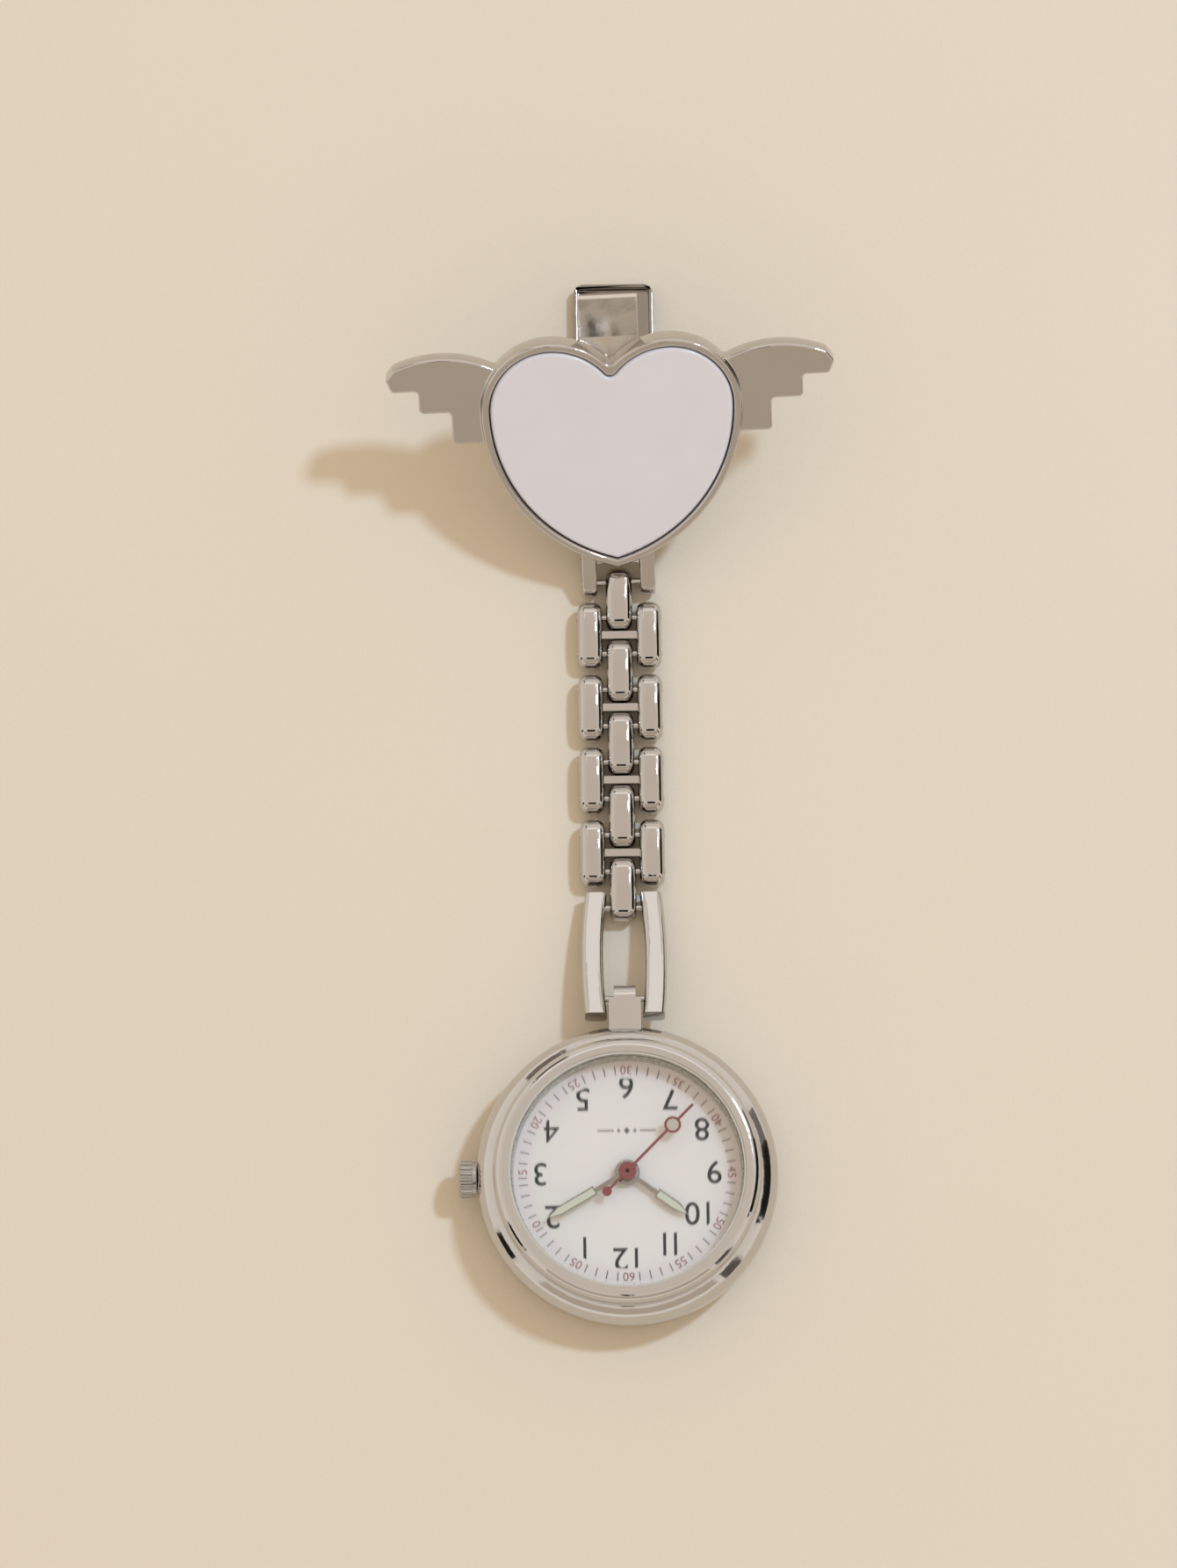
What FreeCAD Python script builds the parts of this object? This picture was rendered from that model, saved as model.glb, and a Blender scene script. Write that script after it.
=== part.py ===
import FreeCAD, Part
import math
import os
import re

import Sketcher

# A fob watch lying face up: a heart brooch with wings and a spring clip, a jointed chain,
# a fork and a quartz watch. Millimetres. The origin is the centre of the case back's flat
# outer face, +Z goes up through the dial and +Y from the watch towards the brooch.

Vector = FreeCAD.Vector
Rotation = FreeCAD.Rotation
X_AXIS = Vector(1, 0, 0)
Y_AXIS = Vector(0, 1, 0)
Z_AXIS = Vector(0, 0, 1)

SIZES = (
    # case band: a girth of the full radius, an arc down to the foot and one up to the bezel
    ("case_radius", 14.0),
    ("band_foot", 12.9),
    ("band_foot_z", 0.35),
    ("girth_low", 2.9),
    ("girth_high", 3.9),
    ("band_top", 12.5),
    ("case_top", 6.1),
    ("cavity_radius", 11.0),
    ("seat_radius", 11.75),
    ("seat_z", 5.5),
    # snap-on case back and its gasket
    ("back_radius", 12.25),
    ("back_top", 1.1),
    ("back_flat", 11.7),
    ("back_bevel", 0.3),
    ("back_seal_in", 11.4),
    ("back_seal_out", 11.9),
    ("back_seal_height", 0.4),
    # bezel, crystal and the gasket between them
    ("bezel_radius", 12.4),
    ("bezel_bore", 10.9),
    ("bezel_shoulder", 7.1),
    ("bezel_lip", 11.2),
    ("bezel_top", 8.05),
    ("crystal_radius", 10.8),
    ("crystal_z", 7.15),
    ("crystal_edge_z", 7.9),
    ("crystal_bevel", 0.2),
    ("crystal_crown", 0.25),
    ("crystal_seal", 11.0),
    # dial and the sloping ring around it
    ("dial_radius", 10.95),
    ("dial_z", 5.0),
    ("dial_top", 5.4),
    ("dial_hole", 1.05),
    ("chapter_radius", 8.9),
    ("chapter_step", 0.03),
    ("dial_foot_radius", 0.3),
    ("dial_foot_x", 4.1),
    ("dial_foot_y", 7.1),
    ("flange_in", 10.55),
    ("flange_out", 10.85),
    ("flange_lip", 0.15),
    # movement: holder, main plate above the train, bridge below it
    ("holder_in", 9.55),
    ("holder_out", 10.95),
    ("holder_z", 1.15),
    ("plate_z", 3.7),
    ("plate_top", 4.3),
    ("bridge_z", 1.6),
    ("bridge_top", 2.0),
    ("bridge_round", 1.3),
    ("rotor_round", 1.5),
    ("pillar_radius", 0.8),
    ("pivot_radius", 0.12),
    ("pivot_hole", 0.15),
    ("screw_radius", 0.3),
    ("screw_head", 0.6),
    ("screw_head_height", 0.28),
    ("clamp_thickness", 0.15),
    ("battery_radius", 2.9),
    ("battery_x", 6.2),
    ("battery_y", -1.5),
    ("battery_top", 3.6),
    ("battery_rim", 0.35),
    # electric parts
    ("stator_z", 2.2),
    ("stator_top", 2.6),
    ("stator_bore", 0.8),
    ("magnet_radius", 0.62),
    ("coil_y", 7.6),
    ("coil_half", 3.0),
    ("coil_radius", 0.95),
    ("core_top", 2.8),
    ("board_z", 2.1),
    ("board_top", 2.3),
    ("can_radius", 0.55),
    ("can_length", 4.4),
    ("can_x", -5.6),
    ("can_y", -6.5),
    # wheels: centre distances of the six meshing pairs
    ("rotor_to_fifth", 2.9),
    ("fifth_to_second", 3.7),
    ("second_to_third", 3.6),
    ("cannon_to_minute", 3.0),
    ("rotor_bearing", 30.0),
    ("minute_bearing", 150.0),
    ("wheel_thickness", 0.2),
    ("pinion_thickness", 0.4),
    ("arbor_radius", 0.2),
    ("cannon_bore", 0.25),
    ("cannon_radius", 0.6),
    ("hour_bore", 0.7),
    ("hour_tube", 0.95),
    ("post_radius", 0.25),
    ("end_shake", 0.04),
    ("pivot_length", 0.3),
    # wheels: heights of the toothed discs above the case back
    ("fifth_pinion_z", 2.08),
    ("second_wheel_z", 2.15),
    ("second_pinion_z", 2.45),
    ("third_wheel_z", 2.55),
    ("rotor_pinion_z", 2.82),
    ("fifth_wheel_z", 2.9),
    ("third_pinion_z", 3.14),
    ("centre_wheel_z", 3.25),
    ("rotor_pinion_thickness", 0.3),
    ("fifth_wheel_thickness", 0.15),
    ("fifth_pinion_thickness", 0.35),
    # hands
    ("hour_hand_z", 5.95),
    ("minute_hand_z", 6.35),
    ("second_hand_z", 6.75),
    ("hand_thickness", 0.15),
    ("hour_hand_tip", 6.8),
    ("hour_window_start", 3.5),
    ("minute_hand_tip", 8.5),
    ("minute_window_start", 3.6),
    ("hand_width", 0.9),
    ("hand_stem", 0.42),
    ("hand_frame", 0.15),
    ("hand_point", 1.2),
    ("hour_hand_bearing", -36.0),
    ("minute_hand_bearing", 210.0),
    ("second_hand_bearing", 45.0),
    ("second_hand_tip", 8.7),
    ("second_hand_width", 0.25),
    ("second_ring_at", 6.0),
    ("second_ring_out", 0.78),
    ("second_ring_in", 0.56),
    ("second_tail_at", 2.7),
    ("second_tail_radius", 0.45),
    ("second_hub", 0.82),
    # crown and stem, on an axis along X
    ("stem_z", 2.95),
    ("stem_radius", 0.42),
    ("stem_square", 0.56),
    ("square_bore", 0.64),
    ("stem_end_x", 5.3),
    ("stem_shoulder_x", 8.5),
    ("crown_x", 14.05),
    ("crown_radius", 1.78),
    ("crown_length", 1.55),
    ("crown_flange", 0.3),
    ("crown_recess", 1.08),
    ("crown_recess_depth", 0.7),
    ("flute_radius", 0.17),
    ("flutes", 20.0),
    ("tube_radius", 0.95),
    ("tube_bore", 0.5),
    ("tube_in_x", 11.4),
    ("tube_out_x", 14.6),
    ("slider_x", 6.2),
    ("slider_length", 1.1),
    ("slider_radius", 0.72),
    ("slot_half", 1.2),
    # case lug and fork
    ("lug_pin_y", 16.8),
    ("lug_pin_z", 3.2),
    ("lug_half", 1.5),
    ("lug_root_y", 12.9),
    ("lug_block_y", 16.7),
    ("lug_height", 1.3),
    ("nose_half", 1.0),
    ("fork_length", 9.2),
    ("fork_over_far", 1.2),
    ("fork_over_near", 1.75),
    ("fork_in_far", 1.53),
    ("fork_in_near", 1.68),
    ("fork_in_bow", 1.95),
    ("fork_bar_width", 2.05),
    ("fork_half_height", 1.1),
    ("fork_rounding", 0.55),
    # chain
    ("pin_radius", 0.3),
    ("pin_proud", 0.05),
    ("running_bore", 0.35),
    ("loose_bore", 0.4),
    ("pitch", 3.5),
    ("pin_z", 1.35),
    ("link_radius", 1.3),
    ("link_crown", 14.0),
    ("centre_half", 1.25),
    ("rail_over", 0.15),
    ("rail_in", 1.6),
    ("rail_out", 3.95),
    ("link_rounding", 0.8),
    ("web_half", 0.36),
    ("web_half_height", 0.45),
    ("pin_half", 4.0),
    # brooch: heart casting with wings, in its own tilted frame from the chain pin
    ("brooch_tilt", 35.0),
    ("brooch_yaw", 2.0),
    ("tip_up", 2.3),
    ("lobe_x", 5.6),
    ("lobe_up", 15.85),
    ("lobe_round", 6.6),
    ("notch_round", 7.39),
    ("notch_soft", 0.7),
    ("flank_round", 16.4),
    ("heart_back", -0.6),
    ("rim_front", 2.1),
    ("wing_front", 1.5),
    ("rim_width", 0.73),
    ("inlay_gap", 0.12),
    ("inlay_floor", 0.8),
    ("inlay_front", 2.05),
    ("inlay_rounding", 0.35),
    ("heart_lug_in", 2.05),
    ("heart_lug_out", 3.45),
    ("heart_lug_up", 4.3),
    ("bridge_up", 2.0),
    ("bridge_half", 0.6),
    # wings: three stepped feathers below one long arc, from the heart's side outwards
    ("wing_root_x", 8.0),
    ("wing_root_up", 18.0),
    ("inner_feather_x", 15.0),
    ("inner_feather_up", 12.8),
    ("middle_feather_x", 18.0),
    ("middle_feather_up", 15.95),
    ("outer_feather_x", 20.5),
    ("outer_feather_up", 18.15),
    ("wing_end_x", 21.0),
    ("wing_end_up", 19.4),
    ("wing_tip_x", 20.3),
    ("wing_tip_up", 20.35),
    ("wing_top_x", 16.2),
    ("wing_top_up", 21.3),
    ("feather_rounding", 0.45),
    # clip: base sheet on the heart's back, ears with a hinge pin, sprung lever
    ("sheet", 0.5),
    ("clip_half", 2.8),
    ("clip_foot_up", 4.4),
    ("clip_bend_up", 24.4),
    ("clip_tab", 5.0),
    ("clip_tab_bend", 25.0),
    ("clip_pin_up", 11.5),
    ("clip_pin_depth", 5.0),
    ("ear_radius", 1.1),
    ("ear_root", 2.2),
    ("lever_half", 3.8),
    ("lever_bore", 0.45),
    ("lever_turn", -2.0),
    ("lever_slide", 0.3),
    ("lever_wall", 0.4),
    ("lever_pad_start", 14.6),
    ("lever_pad_end", 29.3),
    ("lever_wall_top", 1.3),
    ("lever_under_pin", 1.75),
    ("jaw_up", 4.9),
    ("jaw_gap", 0.14),
    ("jaw_bend_y", 6.6),
    ("cheek_root", 1.6),
    ("cheek_top", 0.9),
    ("cheek_over_pin", 0.6),
    ("cheek_end", 1.5),
    ("pad_corner", 1.0),
    ("clip_pin_half", 4.2),
    ("spring_wire", 0.22),
    ("spring_mean", 0.85),
    ("spring_turns", 7.0),
    ("spring_turn", 63.5),
    ("spring_leg_up", 4.2),
    ("spring_leg_down", 2.0),
)

NAMES = re.compile(r"\b(?:" + "|".join(name for name, _ in SIZES) + r")\b")

doc = FreeCAD.newDocument("FobWatch")
sheet = doc.addObject("Spreadsheet::Sheet", "Sizes")
for row, (name, size) in enumerate(SIZES, start=1):
    sheet.set(f"A{row}", name)
    sheet.set(f"B{row}", str(size))
    sheet.setAlias(f"B{row}", name)
doc.recompute()

sub_parts = []


# Small helpers: numbers from the sheet, sketches, and the features that are used everywhere.


def number(text):
    """The value of a size, or of a sum of sizes."""
    return float(sheet.evalExpression(str(text)))


def bind(item, path, text):
    item.setExpression(path, NAMES.sub(r"Sizes.\g<0>", str(text)))


def minus(text):
    return f"-({text})"


def tangent_arc(run, rise):
    """Radius of an arc that leaves at a right angle to run and covers run and rise."""
    return f"((({run})^2 + ({rise})^2) / (2 * ({run})))"


def new_body(label):
    body = doc.addObject("PartDesign::Body", label)
    body.Label = label
    sub_parts.append(body)
    return body


def origin_item(body, role):
    return next(item for item in body.Origin.OriginFeatures if item.Role == role)


def new_sketch(body, plane="XY", start="0", turn="0"):
    sketch = body.newObject("Sketcher::SketchObject", body.Label + "_outline")
    sketch.AttachmentSupport = [(origin_item(body, plane + "_Plane"), "")]
    sketch.MapMode = "FlatFace"
    offset = Vector(0, 0, number(start))
    sketch.AttachmentOffset = FreeCAD.Placement(offset, Rotation(Z_AXIS, number(turn)))
    bind(sketch, "AttachmentOffset.Base.z", start)
    return sketch


def dimension(sketch, kind, *where, size):
    index = sketch.addConstraint(Sketcher.Constraint(kind, *where, number(size)))
    bind(sketch, f"Constraints[{index}]", size)


def add_arc(sketch, here, there, radius):
    """An arc to the right of the way from here to there, or to the left if radius is negative."""
    chord = there - here
    side = Vector(chord.y, -chord.x, 0).normalize()
    depth = abs(radius) - math.sqrt(max(radius**2 - (chord.Length / 2) ** 2, 0))
    middle = (here + there) / 2 + side * math.copysign(depth, radius)
    if radius > 0:
        sketch.addGeometry(Part.Arc(here, middle, there), False)
        return 1, 2
    sketch.addGeometry(Part.Arc(there, middle, here), False)
    return 2, 1


def draw(sketch, corners):
    """A closed outline, anticlockwise. A corner is (across, up), or (across, up, radius) when
    an arc leads on to the next corner: it bulges outwards, or inwards if radius is negative."""
    places = [Vector(number(c[0]), number(c[1]), 0) for c in corners]
    first = sketch.GeometryCount
    ends = []
    for here, there, corner in zip(places, places[1:] + places[:1], corners):
        if len(corner) == 3:
            ends.append(add_arc(sketch, here, there, number(corner[2])))
        else:
            sketch.addGeometry(Part.LineSegment(here, there), False)
            ends.append((1, 2))
    for i, corner in enumerate(corners):
        after = (i + 1) % len(corners)
        joint = Sketcher.Constraint("Coincident", first + i, ends[i][1], first + after, ends[after][0])
        sketch.addConstraint(joint)
        dimension(sketch, "DistanceX", first + i, ends[i][0], size=corner[0])
        dimension(sketch, "DistanceY", first + i, ends[i][0], size=corner[1])
        if len(corner) == 3:
            dimension(sketch, "Radius", first + i, size=f"abs({corner[2]})")
    return sketch


def draw_circle(sketch, across, up, radius):
    centre = Vector(number(across), number(up), 0)
    index = sketch.addGeometry(Part.Circle(centre, Z_AXIS, number(radius)), False)
    dimension(sketch, "DistanceX", index, 3, size=across)
    dimension(sketch, "DistanceY", index, 3, size=up)
    dimension(sketch, "Radius", index, size=radius)
    return sketch


def pad(body, sketch, length):
    feature = body.newObject("PartDesign::Pad", body.Label + "_pad")
    feature.Profile = sketch
    feature.Length = number(length)
    bind(feature, "Length", length)
    return feature


def pocket(body, sketch, depth):
    """Cuts along the sketch's normal, the same way as a pad goes."""
    feature = body.newObject("PartDesign::Pocket", body.Label + "_cut")
    feature.Profile = sketch
    feature.Reversed = True
    feature.Length = number(depth)
    bind(feature, "Length", depth)
    return feature


def revolve(body, corners):
    """Turns a section (radius, height) about the body's Z axis."""
    sketch = draw(new_sketch(body, "XZ"), corners)
    feature = body.newObject("PartDesign::Revolution", body.Label + "_turned")
    feature.Profile = sketch
    feature.ReferenceAxis = (sketch, ["V_Axis"])
    feature.Angle = 360
    return feature


def repeat(body, features, count):
    feature = body.newObject("PartDesign::PolarPattern", body.Label + "_pattern")
    feature.Originals = features
    feature.Axis = (origin_item(body, "Z_Axis"), [""])
    feature.Angle = 360
    feature.Occurrences = count
    body.Tip = feature
    return feature


def round_edges(body, radius, wanted):
    """Fillets the edges whose shape passes the test."""
    doc.recompute()
    edges = [f"Edge{i}" for i, edge in enumerate(body.Tip.Shape.Edges, start=1) if wanted(edge)]
    feature = body.newObject("PartDesign::Fillet", body.Label + "_rounded")
    feature.Base = (feature.BaseFeature, edges)
    feature.Radius = number(radius)
    bind(feature, "Radius", radius)
    return feature


def stand(body, across="0", along="0", up="0", rotation=None):
    body.Placement = FreeCAD.Placement(
        Vector(number(across), number(along), number(up)), rotation or Rotation()
    )
    bind(body, "Placement.Base.x", across)
    bind(body, "Placement.Base.y", along)
    bind(body, "Placement.Base.z", up)
    return body


def box_outline(left, low, right, high):
    return [(left, low), (right, low), (right, high), (left, high)]


def ring_section(inner, outer, low, high):
    return box_outline(inner, low, outer, high)


def link_side(over="0"):
    """A link's side view: round ends about its two pins, or that far beyond them, and a
    slightly crowned top."""
    back = f"-pitch - {over}"
    return [
        (back, "-link_radius"),
        (over, "-link_radius", "link_radius"),
        (f"{over} + link_radius", "0", "link_radius"),
        (over, "link_radius", "link_crown"),
        (back, "link_radius", "link_radius"),
        (f"{back} - link_radius", "0", "link_radius"),
    ]


def cylinder(radius, height, across="0", along="0", up="0", rotation=None):
    item = doc.addObject("Part::Cylinder", "Round")
    item.Radius = number(radius)
    item.Height = number(height)
    bind(item, "Radius", radius)
    bind(item, "Height", height)
    return stand(item, across, along, up, rotation)


def box(length, width, height, across, along, up):
    item = doc.addObject("Part::Box", "Block")
    for side, size in (("Length", length), ("Width", width), ("Height", height)):
        setattr(item, side, number(size))
        bind(item, side, size)
    return stand(item, across, along, up)


def fused(label, items):
    item = doc.addObject("Part::MultiFuse", label)
    item.Label = label
    item.Shapes = items
    sub_parts.append(item)
    return item


# Wheels. Teeth stand on a disc of the root radius, narrower than half the pitch.


def add_teeth(body, teeth, pitch_radius, low, thickness, phase):
    """A toothed disc: phase is the bearing of one tooth's middle, in degrees."""
    addendum = f"(0.85 * 2 * ({pitch_radius}) / {teeth})"
    root = f"({pitch_radius} - 1.2 * {addendum})"
    tip = f"({pitch_radius} + {addendum})"
    pad(body, draw_circle(new_sketch(body, start=low), "0", "0", root), thickness)
    half = f"({pitch_radius} * {math.pi / teeth:.5f})"
    tooth = [
        (f"{root} - 0.04", f"-0.6 * {half}"),
        (tip, f"-0.22 * {half}"),
        (tip, f"0.22 * {half}"),
        (f"{root} - 0.04", f"0.6 * {half}"),
    ]
    sketch = draw(new_sketch(body, start=low, turn=phase), tooth)
    repeat(body, [pad(body, sketch, thickness)], teeth)


def mesh_radius(distance, teeth, partner):
    return f"({distance} * {teeth} / {teeth + partner})"


def gap_phase(bearing, teeth):
    """The phase that puts a gap, not a tooth, at the bearing."""
    return f"{bearing} + {180 / teeth}"


ROTOR_TEETH = 8
FIFTH_TEETH = 48
FIFTH_PINION = 8
SECOND_TEETH = 40
SECOND_PINION = 8
THIRD_TEETH = 64
THIRD_PINION = 8
CENTRE_TEETH = 60
CANNON_TEETH = 12
MINUTE_TEETH = 36
MINUTE_PINION = 10
HOUR_TEETH = 40

FIFTH_AT = ("0", "fifth_to_second")
THIRD_AT = ("0", "-second_to_third")
ROTOR_AT = (
    "rotor_to_fifth * cos(rotor_bearing * 1deg)",
    "fifth_to_second + rotor_to_fifth * sin(rotor_bearing * 1deg)",
)
MINUTE_AT = (
    "cannon_to_minute * cos(minute_bearing * 1deg)",
    "cannon_to_minute * sin(minute_bearing * 1deg)",
)
SCREWS_AT = (("0", "-8"), ("6.3", "4.2"), ("-4.6", "3.4"))
DIAL_FEET = (("dial_foot_x", "dial_foot_y"), ("-dial_foot_x", "-dial_foot_y"))


def add_arbor(body):
    """A staff between the bridge and the plate, with a thin pivot in each."""
    low = "bridge_top + end_shake"
    high = "plate_z - end_shake"
    revolve(
        body,
        [
            ("0", f"{low} - pivot_length"),
            ("pivot_radius", f"{low} - pivot_length"),
            ("pivot_radius", low),
            ("arbor_radius", low),
            ("arbor_radius", high),
            ("pivot_radius", high),
            ("pivot_radius", f"{high} + pivot_length"),
            ("0", f"{high} + pivot_length"),
        ],
    )


def make_rotor():
    body = new_body("rotor")
    add_arbor(body)
    magnet = draw_circle(new_sketch(body, start="stator_z - 0.05"), "0", "0", "magnet_radius")
    pad(body, magnet, "stator_top - stator_z + 0.2")
    radius = mesh_radius("rotor_to_fifth", ROTOR_TEETH, FIFTH_TEETH)
    phase = "rotor_bearing + 180"
    add_teeth(body, ROTOR_TEETH, radius, "rotor_pinion_z", "rotor_pinion_thickness", phase)
    stand(body, *ROTOR_AT)


def make_fifth_wheel():
    body = new_body("fifth_wheel")
    add_arbor(body)
    radius = mesh_radius("rotor_to_fifth", FIFTH_TEETH, ROTOR_TEETH)
    phase = gap_phase("rotor_bearing", FIFTH_TEETH)
    add_teeth(body, FIFTH_TEETH, radius, "fifth_wheel_z", "fifth_wheel_thickness", phase)
    radius = mesh_radius("fifth_to_second", FIFTH_PINION, SECOND_TEETH)
    add_teeth(body, FIFTH_PINION, radius, "fifth_pinion_z", "fifth_pinion_thickness", "-90")
    stand(body, *FIFTH_AT)


def make_second_wheel():
    """The staff runs on up through the cannon to the second hand."""
    body = new_body("second_wheel")
    revolve(
        body,
        [
            ("0", "bridge_z + 0.1"),
            ("pivot_radius", "bridge_z + 0.1"),
            ("pivot_radius", "bridge_top + end_shake"),
            ("arbor_radius", "bridge_top + end_shake"),
            ("arbor_radius", "second_hand_z + 0.1"),
            ("0", "second_hand_z + 0.1"),
        ],
    )
    radius = mesh_radius("fifth_to_second", SECOND_TEETH, FIFTH_PINION)
    phase = gap_phase("90", SECOND_TEETH)
    add_teeth(body, SECOND_TEETH, radius, "second_wheel_z", "wheel_thickness", phase)
    radius = mesh_radius("second_to_third", SECOND_PINION, THIRD_TEETH)
    add_teeth(body, SECOND_PINION, radius, "second_pinion_z", "pinion_thickness", "-90")


def make_third_wheel():
    body = new_body("third_wheel")
    add_arbor(body)
    radius = mesh_radius("second_to_third", THIRD_TEETH, SECOND_PINION)
    phase = gap_phase("90", THIRD_TEETH)
    add_teeth(body, THIRD_TEETH, radius, "third_wheel_z", "wheel_thickness", phase)
    radius = mesh_radius("second_to_third", THIRD_PINION, CENTRE_TEETH)
    add_teeth(body, THIRD_PINION, radius, "third_pinion_z", "pinion_thickness", "90")
    stand(body, *THIRD_AT)


def make_centre_wheel():
    """The minute wheel's tube: it turns on the seconds staff and carries the minute hand."""
    body = new_body("centre_wheel")
    tube_top = "minute_hand_z + hand_thickness + 0.1"
    low = "centre_wheel_z - 0.05"
    revolve(body, ring_section("cannon_bore", "cannon_radius", low, tube_top))
    radius = mesh_radius("second_to_third", CENTRE_TEETH, THIRD_PINION)
    phase = gap_phase("-90", CENTRE_TEETH)
    add_teeth(body, CENTRE_TEETH, radius, "centre_wheel_z", "wheel_thickness", phase)
    radius = mesh_radius("cannon_to_minute", CANNON_TEETH, MINUTE_TEETH)
    add_teeth(body, CANNON_TEETH, radius, "plate_top + 0.08", "wheel_thickness", "minute_bearing")
    drilled = draw_circle(new_sketch(body, start=low), "0", "0", "cannon_bore")
    pocket(body, drilled, f"{tube_top} - ({low})")


def make_minute_wheel():
    body = new_body("minute_wheel")
    bore = "post_radius + 0.04"
    revolve(body, ring_section(bore, "post_radius + 0.15", "plate_top + 0.05", "dial_z - 0.05"))
    radius = mesh_radius("cannon_to_minute", MINUTE_TEETH, CANNON_TEETH)
    phase = gap_phase("minute_bearing + 180", MINUTE_TEETH)
    add_teeth(body, MINUTE_TEETH, radius, "plate_top + 0.08", "wheel_thickness", phase)
    radius = mesh_radius("cannon_to_minute", MINUTE_PINION, HOUR_TEETH)
    add_teeth(body, MINUTE_PINION, radius, "plate_top + 0.3", "0.34", "minute_bearing + 180")
    pocket(body, draw_circle(new_sketch(body, start="plate_top"), "0", "0", bore), "1")
    stand(body, *MINUTE_AT)


def make_hour_wheel():
    body = new_body("hour_wheel")
    tube_top = "hour_hand_z + hand_thickness + 0.05"
    revolve(body, ring_section("hour_bore", "hour_tube", "plate_top + 0.38", tube_top))
    radius = mesh_radius("cannon_to_minute", HOUR_TEETH, MINUTE_PINION)
    phase = gap_phase("minute_bearing", HOUR_TEETH)
    add_teeth(body, HOUR_TEETH, radius, "plate_top + 0.4", "wheel_thickness", phase)
    pocket(body, draw_circle(new_sketch(body, start="plate_top"), "0", "0", "hour_bore"), "2")


# Movement frame and its fixed parts.


def make_main_plate():
    body = new_body("main_plate")
    height = "plate_top - plate_z"
    pad(body, draw_circle(new_sketch(body, start="plate_z"), "0", "0", "holder_in"), height)
    for across, along in SCREWS_AT:
        pillar = draw_circle(new_sketch(body, start="bridge_top"), across, along, "pillar_radius")
        pad(body, pillar, "plate_z - bridge_top")
    post = draw_circle(new_sketch(body, start="plate_top"), *MINUTE_AT, "post_radius")
    pad(body, post, "dial_z - plate_top")
    holes = new_sketch(body, start="bridge_top")
    for across, along in SCREWS_AT:
        draw_circle(holes, across, along, "screw_radius")
    for across, along in DIAL_FEET:
        draw_circle(holes, across, along, "dial_foot_radius")
    for across, along in (FIFTH_AT, THIRD_AT, ROTOR_AT):
        draw_circle(holes, across, along, "pivot_hole")
    draw_circle(holes, "0", "0", "cannon_radius + 0.06")
    pocket(body, holes, "plate_top - bridge_top")
    slot = box_outline("-stem_shoulder_x - 0.6", "-slot_half", "-slider_x + 0.15", "slot_half")
    pocket(body, draw(new_sketch(body, start="plate_z"), slot), height)


def make_train_bridge():
    """A rounded triangle over the three pillars, cut away around the battery."""
    body = new_body("train_bridge")
    height = "bridge_top - bridge_z"
    pad(body, draw(new_sketch(body, start="bridge_z"), SCREWS_AT), height)
    rounds = [(*place, "bridge_round") for place in SCREWS_AT]
    rounds += [(*place, "rotor_round") for place in (FIFTH_AT, ROTOR_AT)]
    for across, along, radius in rounds:
        pad(body, draw_circle(new_sketch(body, start="bridge_z"), across, along, radius), height)
    holes = new_sketch(body, start="bridge_z")
    for across, along in SCREWS_AT:
        draw_circle(holes, across, along, "screw_radius")
    for across, along in (FIFTH_AT, THIRD_AT, ROTOR_AT, ("0", "0")):
        draw_circle(holes, across, along, "pivot_hole")
    pocket(body, holes, height)
    around = new_sketch(body, start="bridge_z")
    draw_circle(around, "battery_x", "battery_y", "battery_radius + 0.15")
    pocket(body, around, height)


def make_movement_screws():
    """Three screws: the second one also holds the battery clamp."""
    items = []
    for i, (across, along) in enumerate(SCREWS_AT):
        under = "bridge_z - clamp_thickness" if i == 1 else "bridge_z"
        items.append(cylinder("screw_radius", f"plate_top - 0.2 - ({under})", across, along, under))
        head_up = f"{under} - screw_head_height"
        items.append(cylinder("screw_head", "screw_head_height", across, along, head_up))
    fused("movement_screws", items)


def make_movement_ring():
    body = new_body("movement_ring")
    revolve(body, ring_section("holder_in", "holder_out", "holder_z", "dial_z"))
    bore = draw_circle(new_sketch(body, "YZ", "-holder_out - 0.1"), "0", "stem_z", "stem_radius + 0.1")
    pocket(body, bore, "2")


def make_stator():
    body = new_body("stator")
    outline = [
        ("0.95", "3.25"),
        ("4.4", "3.25"),
        ("4.4", "8.1"),
        ("3.3", "8.1"),
        ("3.3", "6.35"),
        ("-3.3", "6.35"),
        ("-3.3", "8.1"),
        ("-4.4", "8.1"),
        ("-4.4", "5.3"),
        ("0.95", "5.3"),
    ]
    height = "stator_top - stator_z"
    pad(body, draw(new_sketch(body, start="stator_z"), outline), height)
    pocket(body, draw_circle(new_sketch(body, start="stator_z"), *ROTOR_AT, "stator_bore"), height)


def make_coil():
    """Winding between two cheeks, on a core bar that lies on the stator's ends."""
    axis_up = "stator_top - 0.05"
    turned = Rotation(Y_AXIS, 90)
    winding = cylinder("coil_radius - 0.15", "2 * coil_half", "-coil_half", "coil_y", axis_up, turned)
    cheeks = [
        cylinder("coil_radius", "0.2", across, "coil_y", axis_up, turned)
        for across in ("-coil_half", "coil_half - 0.2")
    ]
    core = box("8.6", "0.8", "core_top - stator_top", "-4.3", "coil_y - 0.4", "stator_top")
    fused("coil", [winding, core] + cheeks)


def make_circuit_board():
    body = new_body("circuit_board")
    outline = [
        ("-8.9", "-1.4"),
        ("-7.2", "-5.4"),
        ("-5.2", "-7.2"),
        ("-3.7", "-7.2"),
        ("-3.7", "-1.4"),
    ]
    pad(body, draw(new_sketch(body, start="board_z"), outline), "board_top - board_z")


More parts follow.
